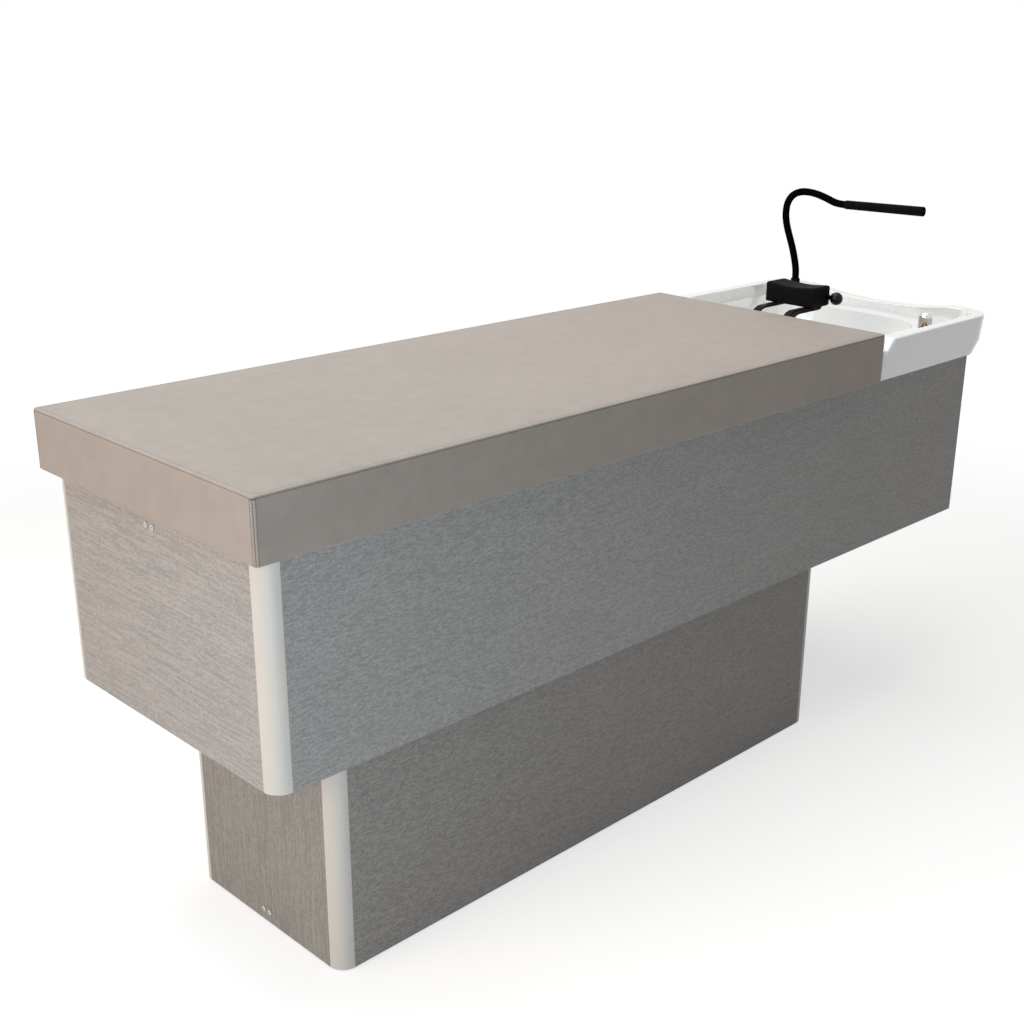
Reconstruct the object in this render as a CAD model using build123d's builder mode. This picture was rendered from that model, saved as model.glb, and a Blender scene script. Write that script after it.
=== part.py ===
# Height-adjustable hair washing bed: a long casing with a padded top and a ceramic basin,
# raised on two telescopic columns that stand in a narrower plinth.
# Millimetres. +Z is up, +X points to the basin end, the origin lies on the floor under the middle.
# The bed is drawn in its raised position.
from build123d import *
import math
import os

os.makedirs("parts", exist_ok=True)

# Overall sizes
casing_length = 2250.0
casing_width = 692.0
casing_height = 437.0
casing_underside = 519.0
mattress_overhang = 21.5
mattress_side_overhang = 18.0
basin_seat_length = 445.0
basin_overhang = 113.5
basin_side_overhang = 4.5
basin_side_flare = 9.5
basin_neck_gap = 3.0
plinth_width = 498.0
plinth_height = 553.0
plinth_setback = 188.0
plinth_head_setback = 492.5

# Shared clearances and cutting sizes
overrun = 2.0
running_gap = 0.05
slide_gap = 0.3
hole_gap = 0.25

# Stations along the bed
overall_length = mattress_overhang + casing_length + basin_overhang
foot_x = mattress_overhang - overall_length / 2
head_x = foot_x + casing_length
basin_neck_x = head_x - basin_seat_length
mattress_head_x = basin_neck_x - basin_neck_gap
mattress_length = mattress_head_x - foot_x + mattress_overhang
mattress_width = casing_width + 2 * mattress_side_overhang
basin_base_width = casing_width + 2 * basin_side_overhang
basin_top_width = basin_base_width + 2 * basin_side_flare
plinth_foot_x = foot_x + plinth_setback
plinth_head_x = head_x - plinth_head_setback
casing_top = casing_underside + casing_height

# Panels and corner profiles
panel_thick = 12.0
floor_gap = 3.0
casing_corner = 36.0
plinth_corner = 35.0
profile_wall = 3.0
profile_lip = 2.0
profile_reach = 14.0
angle_leg = 20.0

# Steel frames
tube_wall = 2.5
base_tube_width = 40.0
base_tube_height = 30.0
base_height = 16.0
rail_width = 30.0
rail_height = 60.0
cross_width = 30.0
cross_height = 20.0
bearer_reach = 7.5
board_thick = 16.0

# Lifting columns
column_setback = 254.75
column_overlap = 153.0
column_length_x = 100.0
column_width_y = 140.0
column_wall = 4.0
column_glide = 3.7
column_glide_height = 50.0
column_glide_width = 40.0
column_top_gap = 10.0
column_corner = 8.0
base_plate_thick = 8.0
base_plate_length = 220.0
base_plate_width = 300.0
top_plate_thick = 8.0
top_plate_length = 180.0
top_plate_width = 200.0
drive_height = 30.0
drive_gap = 4.0
motor_diameter = 64.0
motor_height = 130.0
motor_gap = 10.0
spindle_diameter = 20.0
spindle_spare = 22.0
spindle_bevel = 2.0
motor_bevel = 4.0
nut_height = 40.0

# Levelling feet
foot_disc_diameter = 40.0
foot_disc_height = 8.0
foot_stem_diameter = 12.0
foot_nut_width = 19.0
foot_nut_height = 5.0
feet_per_rail = 3

# Panel screws
screw_head_diameter = 11.0
screw_head_height = 2.6
screw_shank_diameter = 5.0
screw_spacing = 21.0
screw_socket_width = 4.0
screw_socket_depth = 1.6
screw_tip = 4.0

# Electrics
box_length = 220.0
box_width = 110.0
box_height = 62.0
box_corner = 6.0
box_bevel = 2.0
inlet_width = 28.0
inlet_height = 22.0
inlet_depth = 26.0
inlet_flange = 4.0
inlet_flange_thick = 2.0
inlet_socket_depth = 16.0
inlet_wall = 3.0
inlet_pin = 2.0
inlet_pin_spacing = 7.0
inlet_centre_height = 96.0
inlet_offset_y = 140.0
switch_plate_width = 62.0
switch_plate_height = 104.0
switch_plate_thick = 3.0
switch_plate_corner = 8.0
switch_box_width = 48.0
switch_box_height = 90.0
switch_box_depth = 30.0
switch_box_wall = 2.5
switch_centre_height = 790.0
switch_from_side = 126.0
button_diameter = 26.0
button_stem_diameter = 10.0
button_spacing = 42.0
button_proud = 5.0
button_travel = 2.0
button_seat = 3.0
button_gap = 0.4
button_bevel = 1.2
button_mark_depth = 0.6
button_mark_width = 13.0

# Mattress
mattress_thick = 122.0
mattress_crown = 5.0
mattress_side_swell = 3.0
mattress_end_draw = 4.0
mattress_corner = 16.0
mattress_edge = 7.0

# Basin
basin_height = 103.0
basin_neck_slant = 52.5
basin_end_draft = 9.0
basin_toe = 33.0
basin_toe_draw = 27.0
basin_head_corner = 90.0
basin_toe_corner = 84.0
basin_neck_corner = 12.0
neck_slot_depth = 20.5
neck_slot_width = 300.0
basin_rim_width = 33.0
basin_neck_rim = 30.0
basin_wall = 12.0
basin_ledge_depth = 33.0
basin_wall_draft = 6.0
rim_round = 5.0
saddle_shoulder = 120.5
saddle_depth = 18.0
neck_shoulder = 60.5
neck_recess_corner = 24.0
bowl_panel_gap = 4.0
bowl_side_land = 92.0
bowl_depth = 160.0
bowl_corner = 105.0
bowl_floor_length = 190.0
bowl_floor_width = 220.0
bowl_floor_corner = 60.0
bowl_floor_setback = 46.0
bowl_waist_share = 0.5
bowl_waist_draw_share = 0.38

# Waste and trap
waste_hole_diameter = 46.0
waste_flange_diameter = 72.0
waste_flange_thick = 4.0
waste_flange_bevel = 1.0
waste_tail_diameter = 40.0
waste_tail_length = 92.0
waste_wall = 3.0
waste_nut_height = 12.0
strainer_height = 22.0
strainer_lip = 3.0
strainer_lip_thick = 1.5
strainer_hole_diameter = 4.0
strainer_hole_count = 8
strainer_knob_diameter = 8.0
strainer_knob_height = 12.0
strainer_gap = 0.4
trap_collar_diameter = 56.0
trap_collar_height = 24.0
trap_bottle_diameter = 74.0
trap_bottle_height = 96.0
trap_wall = 3.0
trap_outlet_length = 30.0
drain_pipe_diameter = 40.0
drain_pipe_wall = 2.0
drain_drop_y = 140.0
drain_bend_radius = 55.0
drain_end_height = 24.0
drain_collar_rim = 8.0
drain_collar_height = 5.0

# Service plate and water unions
service_plate_height = 64.0
service_plate_thick = 4.0
service_plate_length = 150.0
service_plate_setback = 60.0
service_plate_flange = 40.0
union_thread_diameter = 16.66
union_thread_length = 31.0
union_hex_width = 22.0
union_hex_height = 14.0
union_nut_height = 5.0
union_spacing = 50.0
union_offset_y = 240.0

# Mixer
mixer_from_end = 231.0
mixer_from_rim = 50.0
mixer_flange_diameter = 46.0
mixer_flange_height = 3.0
mixer_flange_bevel = 1.0
mixer_shank_diameter = 30.0
mixer_shank_length = 45.0
mixer_core_diameter = 17.0
mixer_core_height = 28.0
mixer_cap_diameter = 37.0
mixer_cap_height = 43.0
mixer_cap_round = 14.0
mixer_cap_wall = 2.4
mixer_cap_lift = 5.0
mixer_facing = 29.0
mixer_pin_diameter = 4.0
mixer_pin_height = 24.0
mixer_lever_length = 30.0
mixer_lever_width = 12.0
mixer_lever_round = 4.0
mixer_lever_thick = 4.0
mixer_notch_width = 22.0
mixer_notch_height = 18.0
nut_rim = 8.0
deck_nut_height = 8.0

# Gooseneck hand shower
gooseneck_from_end = 70.5
gooseneck_from_rim = 69.0
gooseneck_flange_diameter = 44.0
gooseneck_flange_height = 7.0
gooseneck_bevel = 2.0
gooseneck_collar_diameter = 31.0
gooseneck_collar_height = 24.0
gooseneck_spigot_diameter = 16.0
gooseneck_spigot_length = 15.0
gooseneck_shank_diameter = 20.0
gooseneck_shank_length = 20.0
gooseneck_elbow = 16.0
gooseneck_ferrule_diameter = 27.0
gooseneck_ferrule_height = 26.0
gooseneck_hose_diameter = 20.4
wand_length = 248.0
wand_neck_diameter = 24.5
wand_end_diameter = 26.0
wand_wall = 2.5
wand_ring_count = 3
wand_ring_depth = 1.2
wand_ring_width = 4.0
wand_ring_pitch = 10.0
spray_plate_thick = 4.0
spray_plate_setback = 3.0
spray_hole_diameter = 1.6
spray_hole_count = 10

# Supply hoses
supply_hose_diameter = 10.0
supply_hose_offset = 7.5
mixed_hose_drop = 179.0

# Headrest
headrest_from_mattress = 98.0
headrest_length = 78.0
headrest_width = 154.0
headrest_height = 53.0
headrest_above_mattress = 6.0
headrest_saddle = 5.0
headrest_shoulder = 16.0
headrest_round = 6.0
headrest_rod_diameter = 10.0
headrest_rod_setback = 11.0
headrest_rod_rise = 23.0
headrest_arm_thick = 6.0
headrest_arm_width = 20.0
headrest_near_arm_width = 32.0
headrest_arm_spacing = 104.0
headrest_arm_offset = -2.0
headrest_arm_sweep = 45.0
headrest_arm_bend = 10.0
headrest_arm_clear = 2.0
headrest_eye_diameter = 20.0
headrest_arm_slot = 5.0
headrest_arm_lip = 8.0
headrest_slot_gap = 1.0
headrest_bar_height = 34.0
knob_diameter = 34.0
knob_reach = 27.0
knob_thread_diameter = 6.0
knob_thread_length = 24.0
knob_stem_diameter = 11.0
knob_collar_diameter = 17.0
knob_collar_thick = 3.0

print("overall length", overall_length, "foot face at", foot_x)

# Helpers for straight solids, given by two opposite corners


def slab(low, high, mode=Mode.ADD):
    """Add a rectangular block between two corners to the part being built."""
    size = [b - a for a, b in zip(low, high)]
    with Locations(tuple(low)):
        return Box(*size, align=(Align.MIN, Align.MIN, Align.MIN), mode=mode)


def tube_block(low, high, along, wall=tube_wall):
    """Add a straight hollow rectangular tube whose bore runs along axis 0, 1 or 2."""
    slab(low, high)
    inner_low = [a + wall for a in low]
    inner_high = [b - wall for b in high]
    inner_low[along] = low[along] - overrun
    inner_high[along] = high[along] + overrun
    slab(inner_low, inner_high, mode=Mode.SUBTRACT)


def rod(centre, radius, length, direction=(0, 0, 1), mode=Mode.ADD):
    """Add a cylinder that starts at a point and runs along a direction."""
    with Locations(Plane(origin=centre, z_dir=direction)):
        return Cylinder(radius, length, align=(Align.CENTER, Align.CENTER, Align.MIN), mode=mode)


# The plinth stands on the floor and hides the columns


def corner_section(centre_x, centre_y, side_x, side_y, radius):
    """Draw the section of a rounded corner profile with the two lips that hold the panels."""
    with Locations((centre_x, centre_y)):
        Circle(radius)
        Circle(radius - profile_wall, mode=Mode.SUBTRACT)
    with Locations((centre_x + side_x * radius / 2, centre_y + side_y * radius / 2)):
        Rectangle(radius, radius, mode=Mode.INTERSECT)
    lip_out = radius - panel_thick
    lip_in = lip_out - profile_lip
    web = radius - lip_in
    with Locations((centre_x + side_x * profile_wall / 2, centre_y + side_y * (lip_in + web / 2))):
        Rectangle(profile_wall, web)
    with Locations((centre_x + side_x * (lip_in + web / 2), centre_y + side_y * profile_wall / 2)):
        Rectangle(web, profile_wall)
    lip_centre = (lip_in + lip_out) / 2
    reach_centre = (profile_wall - profile_reach) / 2
    lip_length = profile_reach + profile_wall
    with Locations((centre_x + side_x * reach_centre, centre_y + side_y * lip_centre)):
        Rectangle(lip_length, profile_lip)
    with Locations((centre_x + side_x * lip_centre, centre_y + side_y * reach_centre)):
        Rectangle(profile_lip, lip_length)


plinth_half = plinth_width / 2
plinth_inner_half = plinth_half - panel_thick
plinth_frame_half = plinth_inner_half - profile_lip
plinth_frame_foot = plinth_foot_x + panel_thick + profile_lip
plinth_frame_head = plinth_head_x - panel_thick - profile_lip

with BuildPart() as plinth_corner_profiles:
    for side_x, corner_x in ((-1, plinth_foot_x + plinth_corner), (1, plinth_head_x - plinth_corner)):
        for side_y in (-1, 1):
            corner_y = side_y * (plinth_half - plinth_corner)
            with BuildSketch(Plane.XY.offset(floor_gap)):
                corner_section(corner_x, corner_y, side_x, side_y, plinth_corner)
            extrude(amount=plinth_height - floor_gap)
plinth_corner_profiles.part.label = "plinth_corner_profiles"
export_step(plinth_corner_profiles.part, "parts/plinth_corner_profiles.step")

with BuildPart() as plinth_front_panel:
    slab(
        (plinth_foot_x + plinth_corner, -plinth_half, floor_gap),
        (plinth_head_x - plinth_corner, -plinth_inner_half, plinth_height),
    )
plinth_front_panel.part.label = "plinth_front_panel"
export_step(plinth_front_panel.part, "parts/plinth_front_panel.step")

with BuildPart() as plinth_back_panel:
    slab(
        (plinth_foot_x + plinth_corner, plinth_inner_half, floor_gap),
        (plinth_head_x - plinth_corner, plinth_half, plinth_height),
    )
plinth_back_panel.part.label = "plinth_back_panel"
export_step(plinth_back_panel.part, "parts/plinth_back_panel.step")

# End panels are held by a pair of screws near the floor
base_tube_top = base_height + base_tube_height
plinth_screw_z = base_height + base_tube_height / 2
screw_places = (-screw_spacing / 2, screw_spacing / 2)
screw_hole = screw_shank_diameter / 2 + hole_gap

with BuildPart() as plinth_foot_panel:
    slab(
        (plinth_foot_x, -plinth_half + plinth_corner, floor_gap),
        (plinth_foot_x + panel_thick, plinth_half - plinth_corner, plinth_height),
    )
    for y in screw_places:
        start = (plinth_foot_x - overrun, y, plinth_screw_z)
        rod(start, screw_hole, panel_thick + 2 * overrun, (1, 0, 0), mode=Mode.SUBTRACT)
plinth_foot_panel.part.label = "plinth_foot_panel"
export_step(plinth_foot_panel.part, "parts/plinth_foot_panel.step")

inlet_z = inlet_centre_height
with BuildPart() as plinth_head_panel:
    slab(
        (plinth_head_x - panel_thick, -plinth_half + plinth_corner, floor_gap),
        (plinth_head_x, plinth_half - plinth_corner, plinth_height),
    )
    for y in screw_places:
        start = (plinth_head_x - panel_thick - overrun, y, plinth_screw_z)
        rod(start, screw_hole, panel_thick + 2 * overrun, (1, 0, 0), mode=Mode.SUBTRACT)
    slab(
        (
            plinth_head_x - panel_thick - overrun,
            inlet_offset_y - inlet_width / 2 - hole_gap,
            inlet_z - inlet_height / 2 - hole_gap,
        ),
        (
            plinth_head_x + overrun,
            inlet_offset_y + inlet_width / 2 + hole_gap,
            inlet_z + inlet_height / 2 + hole_gap,
        ),
        mode=Mode.SUBTRACT,
    )
plinth_head_panel.part.label = "plinth_head_panel"
export_step(plinth_head_panel.part, "parts/plinth_head_panel.step")


def panel_screw(head_face, direction, reach):
    """Add a low round-headed screw with a hexagonal socket; direction points out of the panel."""
    x, y, z = head_face
    rod((x, y, z), screw_head_diameter / 2, screw_head_height, (direction, 0, 0))
    rod((x, y, z), screw_shank_diameter / 2, reach, (-direction, 0, 0))
    socket_start = (x + direction * (screw_head_height - screw_socket_depth), y, z)
    with BuildSketch(Plane(origin=socket_start, z_dir=(direction, 0, 0))) as socket:
        RegularPolygon(screw_socket_width / 2, side_count=6, major_radius=False)
    extrude(socket.sketch, amount=screw_socket_depth + overrun, mode=Mode.SUBTRACT)


plinth_screw_reach = panel_thick + profile_lip + tube_wall + screw_tip
with BuildPart() as plinth_panel_screws:
    for y in screw_places:
        panel_screw((plinth_foot_x, y, plinth_screw_z), -1, plinth_screw_reach)
        panel_screw((plinth_head_x, y, plinth_screw_z), 1, plinth_screw_reach)
plinth_panel_screws.part.label = "plinth_panel_screws"
export_step(plinth_panel_screws.part, "parts/plinth_panel_screws.step")

# Base frame: two long tubes and the cross tubes that carry the columns
plinth_middle_x = (plinth_foot_x + plinth_head_x) / 2
column_places = (plinth_foot_x + column_setback, plinth_head_x - column_setback)
column_flank = column_length_x / 2 + column_top_gap

with BuildPart() as base_rails:
    for side_y in (-1, 1):
        outer_y = side_y * plinth_frame_half
        inner_y = side_y * (plinth_frame_half - base_tube_width)
        tube_block(
            [plinth_frame_foot + base_tube_width, min(outer_y, inner_y), base_height],
            [plinth_frame_head - base_tube_width, max(outer_y, inner_y), base_tube_top],
            0,
        )
base_rails.part.label = "base_rails"
export_step(base_rails.part, "parts/base_rails.step")

base_inner_half = plinth_frame_half - base_tube_width
column_cross_starts = [x - column_flank - base_tube_width for x in column_places]
column_cross_starts += [x + column_flank for x in column_places]

with BuildPart() as base_cross_tubes:
    for x in (plinth_frame_foot, plinth_frame_head - base_tube_width):
        tube_block(
            [x, -plinth_frame_half, base_height],
            [x + base_tube_width, plinth_frame_half, base_tube_top],
            1,
        )
    for x in column_cross_starts + [plinth_middle_x - base_tube_width / 2]:
        tube_block(
            [x, -base_inner_half, base_height],
            [x + base_tube_width, base_inner_half, base_tube_top],
            1,
        )
    hole_reach = tube_wall + 2 * overrun
    for y in screw_places:
        start = (plinth_frame_foot - overrun, y, plinth_screw_z)
        rod(start, screw_hole, hole_reach, (1, 0, 0), mode=Mode.SUBTRACT)
        start = (plinth_frame_head + overrun, y, plinth_screw_z)
        rod(start, screw_hole, hole_reach, (-1, 0, 0), mode=Mode.SUBTRACT)
base_cross_tubes.part.label = "base_cross_tubes"
export_step(base_cross_tubes.part, "parts/base_cross_tubes.step")

# Levelling feet carry the whole bed at z = 0
with BuildPart() as levelling_feet:
    first_foot = plinth_frame_foot + base_tube_width + foot_disc_diameter
    last_foot = plinth_frame_head - base_tube_width - foot_disc_diameter
    foot_y = plinth_frame_half - base_tube_width / 2
    for index in range(feet_per_rail):
        x = first_foot + (last_foot - first_foot) * index / (feet_per_rail - 1)
        for y in (-foot_y, foot_y):
            rod((x, y, 0), foot_disc_diameter / 2, foot_disc_height)
            rod((x, y, 0), foot_stem_diameter / 2, base_height)
            with BuildSketch(Plane.XY.offset(base_height - foot_nut_height)):
                with Locations((x, y)):
                    RegularPolygon(foot_nut_width / 2, side_count=6, major_radius=False)
            extrude(amount=foot_nut_height)
levelling_feet.part.label = "levelling_feet"
export_step(levelling_feet.part, "parts/levelling_feet.step")

with BuildPart() as column_base_plates:
    for x in column_places:
        slab(
            (x - base_plate_length / 2, -base_plate_width / 2, base_height - base_plate_thick),
            (x + base_plate_length / 2, base_plate_width / 2, base_height),
        )
column_base_plates.part.label = "column_base_plates"
export_step(column_base_plates.part, "parts/column_base_plates.step")

# Telescopic columns: a fixed outer tube, a rising inner tube, a screw and its nut
column_bottom = base_height
column_top = plinth_height - column_top_gap
upper_frame_underside = casing_top - board_thick - cross_height
inner_top = upper_frame_underside - top_plate_thick
drive_top = column_bottom + drive_height
inner_bottom = column_top - column_overlap
lift_travel = inner_bottom - drive_top - drive_gap
print("lift travel", lift_travel)
inner_length_x = column_length_x - 2 * (column_wall + column_glide + slide_gap)
inner_width_y = column_width_y - 2 * (column_wall + column_glide + slide_gap)
motor_y = column_width_y / 2 + motor_gap + motor_diameter / 2
drive_width = column_length_x - 2 * (column_wall + drive_gap)
window_height = drive_height + drive_gap
spindle_top = inner_bottom + nut_height + spindle_spare


def rounded_tube(x, length_x, width_y, bottom, top, corner):
    """Add an upright tube with rounded corners and an open bore."""
    with BuildSketch(Plane.XY.offset(bottom)) as section:
        with Locations((x, 0)):
            RectangleRounded(length_x, width_y, corner)
            RectangleRounded(
                length_x - 2 * column_wall,
                width_y - 2 * column_wall,
                corner - column_wall,
                mode=Mode.SUBTRACT,
            )
    extrude(section.sketch, amount=top - bottom)


for name, x in zip(("foot", "head"), column_places):
    with BuildPart() as column_outer:
        rounded_tube(x, column_length_x, column_width_y, column_bottom, column_top, column_corner)
        slab(
            (x - drive_width / 2 - drive_gap / 2, 0, column_bottom - overrun),
            (x + drive_width / 2 + drive_gap / 2, column_width_y, column_bottom + window_height),
            mode=Mode.SUBTRACT,
        )
    column_outer.part.label = f"{name}_column_outer"
    export_step(column_outer.part, f"parts/{name}_column_outer.step")

    with BuildPart() as column_inner:
        rounded_tube(x, inner_length_x, inner_width_y, inner_bottom, inner_top, column_corner)
        slab(
            (x - top_plate_length / 2, -top_plate_width / 2, inner_top),
            (x + top_plate_length / 2, top_plate_width / 2, upper_frame_underside),
        )
    column_inner.part.label = f"{name}_column_inner"
    export_step(column_inner.part, f"parts/{name}_column_inner.step")

    with BuildPart() as lift_motor:
        slab(
            (x - drive_width / 2, -drive_width / 2, column_bottom),
            (x + drive_width / 2, motor_y, drive_top),
        )
        rod((x, motor_y, column_bottom), motor_diameter / 2, motor_height)
        top_rim = lift_motor.edges().filter_by(GeomType.CIRCLE).sort_by(Axis.Z)[-1]
        chamfer(top_rim, length=motor_bevel)
    lift_motor.part.label = f"{name}_lift_motor"
    export_step(lift_motor.part, f"parts/{name}_lift_motor.step")

    with BuildPart() as lift_spindle:
        rod((x, 0, drive_top), spindle_diameter / 2, spindle_top - drive_top)
        chamfer(lift_spindle.edges().filter_by(GeomType.CIRCLE).sort_by(Axis.Z)[-1], length=spindle_bevel)
    lift_spindle.part.label = f"{name}_lift_spindle"
    export_step(lift_spindle.part, f"parts/{name}_lift_spindle.step")

# The nuts fill the lower ends of the inner tubes
nut_length_x = inner_length_x - 2 * column_wall
nut_width_y = inner_width_y - 2 * column_wall
with BuildPart() as lift_nuts:
    for x in column_places:
        with BuildSketch(Plane.XY.offset(inner_bottom)):
            with Locations((x, 0)):
                RectangleRounded(nut_length_x, nut_width_y, column_corner - column_wall)
                Circle(spindle_diameter / 2 + running_gap, mode=Mode.SUBTRACT)
        extrude(amount=nut_height)
lift_nuts.part.label = "lift_nuts"
export_step(lift_nuts.part, "parts/lift_nuts.step")


def glide_set(x, bore_x, bore_y, bottom, outward):
    """Add four flat glides on the four faces of a tube; outward is 1 outside it, -1 inside it."""
    half_width = column_glide_width / 2
    for side in (-1, 1):
        near = side * bore_x / 2
        far = near + side * outward * column_glide
        slab(
            (x + min(near, far), -half_width, bottom),
            (x + max(near, far), half_width, bottom + column_glide_height),
        )
        near = side * bore_y / 2
        far = near + side * outward * column_glide
        slab(
            (x - half_width, min(near, far), bottom),
            (x + half_width, max(near, far), bottom + column_glide_height),
        )


with BuildPart() as column_upper_glides:
    for x in column_places:
        bore_x = column_length_x - 2 * column_wall
        bore_y = column_width_y - 2 * column_wall
        glide_set(x, bore_x, bore_y, column_top - column_glide_height, -1)
column_upper_glides.part.label = "column_upper_glides"
export_step(column_upper_glides.part, "parts/column_upper_glides.step")

with BuildPart() as column_lower_glides:
    for x in column_places:
        glide_set(x, inner_length_x, inner_width_y, inner_bottom, 1)
column_lower_glides.part.label = "column_lower_glides"
export_step(column_lower_glides.part, "parts/column_lower_glides.step")

# Electrics in the plinth
with BuildPart() as control_box:
    slab(
        (plinth_middle_x - box_length / 2, -box_width / 2, base_tube_top),
        (plinth_middle_x + box_length / 2, box_width / 2, base_tube_top + box_height),
    )
    fillet(control_box.edges().filter_by(Axis.Z), box_corner)
    chamfer(control_box.faces().sort_by(Axis.Z)[-1].edges(), length=box_bevel)
control_box.part.label = "control_box"
export_step(control_box.part, "parts/control_box.step")

with BuildPart() as mains_inlet:
    body_low_y = inlet_offset_y - inlet_width / 2
    body_low_z = inlet_z - inlet_height / 2
    face_x = plinth_head_x + inlet_flange_thick
    slab(
        (face_x - inlet_depth, body_low_y, body_low_z),
        (face_x, body_low_y + inlet_width, body_low_z + inlet_height),
    )
    slab(
        (plinth_head_x, body_low_y - inlet_flange, body_low_z - inlet_flange),
        (
            face_x,
            body_low_y + inlet_width + inlet_flange,
            body_low_z + inlet_height + inlet_flange,
        ),
    )
    slab(
        (face_x - inlet_socket_depth, body_low_y + inlet_wall, body_low_z + inlet_wall),
        (
            face_x + overrun,
            body_low_y + inlet_width - inlet_wall,
            body_low_z + inlet_height - inlet_wall,
        ),
        mode=Mode.SUBTRACT,
    )
    for step in (-1, 0, 1):
        pin_y = inlet_offset_y + step * inlet_pin_spacing
        rod((face_x - inlet_socket_depth, pin_y, inlet_z), inlet_pin / 2, inlet_socket_depth / 2, (1, 0, 0))
mains_inlet.part.label = "mains_inlet"
export_step(mains_inlet.part, "parts/mains_inlet.step")

# Upper frame, carried by the column top plates and moving with the casing
casing_half = casing_width / 2
casing_inner_half = casing_half - panel_thick
frame_half = casing_inner_half - profile_lip
frame_foot = foot_x + panel_thick + profile_lip
frame_head = head_x - panel_thick - profile_lip
frame_top = casing_top - board_thick
rail_inner_half = frame_half - rail_width
casing_screw_z = frame_top - cross_height / 2
head_tube_z = frame_top - rail_height
head_screw_z = head_tube_z + cross_height / 2
casing_screw_reach = panel_thick + profile_lip + tube_wall + screw_tip
bearer_x = mattress_head_x + bearer_reach
board_head = mattress_head_x

with BuildPart() as upper_rails:
    for side_y in (-1, 1):
        outer_y = side_y * frame_half
        inner_y = side_y * rail_inner_half
        tube_block(
            [frame_foot, min(outer_y, inner_y), frame_top - rail_height],
            [frame_head, max(outer_y, inner_y), frame_top],
            0,
        )
upper_rails.part.label = "upper_rails"
export_step(upper_rails.part, "parts/upper_rails.step")

upper_cross_starts = [frame_foot, bearer_x - cross_width]
upper_cross_starts += [x - column_flank - cross_width for x in column_places]
upper_cross_starts += [x + column_flank for x in column_places]

with BuildPart() as upper_cross_tubes:
    for x in upper_cross_starts:
        tube_block(
            [x, -rail_inner_half, frame_top - cross_height],
            [x + cross_width, rail_inner_half, frame_top],
            1,
        )
    tube_block(
        [frame_head - cross_width, -rail_inner_half, head_tube_z],
        [frame_head, rail_inner_half, head_tube_z + cross_height],
        1,
    )
    for y in screw_places:
        start = (frame_foot - overrun, y, casing_screw_z)
        rod(start, screw_hole, hole_reach, (1, 0, 0), mode=Mode.SUBTRACT)
        start = (frame_head + overrun, y, head_screw_z)
        rod(start, screw_hole, hole_reach, (-1, 0, 0), mode=Mode.SUBTRACT)
upper_cross_tubes.part.label = "upper_cross_tubes"
export_step(upper_cross_tubes.part, "parts/upper_cross_tubes.step")

with BuildPart() as mattress_board:
    slab((frame_foot, -frame_half, frame_top), (board_head, frame_half, casing_top))
mattress_board.part.label = "mattress_board"
export_step(mattress_board.part, "parts/mattress_board.step")

# Casing: four panels, two rounded foot corners and two plain angles at the basin end
with BuildPart() as casing_corner_profiles:
    for side_y in (-1, 1):
        with BuildSketch(Plane.XY.offset(casing_underside)):
            corner_section(
                foot_x + casing_corner,
                side_y * (casing_half - casing_corner),
                -1,
                side_y,
                casing_corner,
            )
        extrude(amount=casing_height)
casing_corner_profiles.part.label = "casing_corner_profiles"
export_step(casing_corner_profiles.part, "parts/casing_corner_profiles.step")

with BuildPart() as casing_front_panel:
    slab(
        (foot_x + casing_corner, -casing_half, casing_underside),
        (head_x, -casing_inner_half, casing_top),
    )
casing_front_panel.part.label = "casing_front_panel"
export_step(casing_front_panel.part, "parts/casing_front_panel.step")

with BuildPart() as casing_back_panel:
    slab(
        (foot_x + casing_corner, casing_inner_half, casing_underside),
        (head_x, casing_half, casing_top),
    )
casing_back_panel.part.label = "casing_back_panel"
export_step(casing_back_panel.part, "parts/casing_back_panel.step")

with BuildPart() as casing_foot_panel:
    slab(
        (foot_x, -casing_half + casing_corner, casing_underside),
        (foot_x + panel_thick, casing_half - casing_corner, casing_top),
    )
    for y in screw_places:
        start = (foot_x - overrun, y, casing_screw_z)
        rod(start, screw_hole, panel_thick + 2 * overrun, (1, 0, 0), mode=Mode.SUBTRACT)
casing_foot_panel.part.label = "casing_foot_panel"
export_step(casing_foot_panel.part, "parts/casing_foot_panel.step")

switch_z = switch_centre_height
switch_y = casing_half - switch_from_side
with BuildPart() as casing_head_panel:
    slab(
        (head_x - panel_thick, -casing_inner_half, casing_underside),
        (head_x, casing_inner_half, casing_top),
    )
    for y in screw_places:
        start = (head_x - panel_thick - overrun, y, head_screw_z)
        rod(start, screw_hole, panel_thick + 2 * overrun, (1, 0, 0), mode=Mode.SUBTRACT)
    cut_half_width = switch_box_width / 2 + hole_gap
    cut_half_height = switch_box_height / 2 + hole_gap
    slab(
        (head_x - panel_thick - overrun, switch_y - cut_half_width, switch_z - cut_half_height),
        (head_x + overrun, switch_y + cut_half_width, switch_z + cut_half_height),
        mode=Mode.SUBTRACT,
    )
casing_head_panel.part.label = "casing_head_panel"
export_step(casing_head_panel.part, "parts/casing_head_panel.step")

with BuildPart() as head_corner_angles:
    for side_y in (-1, 1):
        leg_x = head_x - panel_thick
        outer_y = side_y * casing_inner_half
        lip_y = outer_y - side_y * profile_lip
        leg_y = outer_y - side_y * angle_leg
        slab(
            (leg_x - angle_leg, min(outer_y, lip_y), casing_underside),
            (leg_x, max(outer_y, lip_y), casing_top),
        )
        slab(
            (leg_x - profile_lip, min(outer_y, leg_y), casing_underside),
            (leg_x, max(outer_y, leg_y), casing_top),
        )
head_corner_angles.part.label = "head_corner_angles"
export_step(head_corner_angles.part, "parts/head_corner_angles.step")

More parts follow.
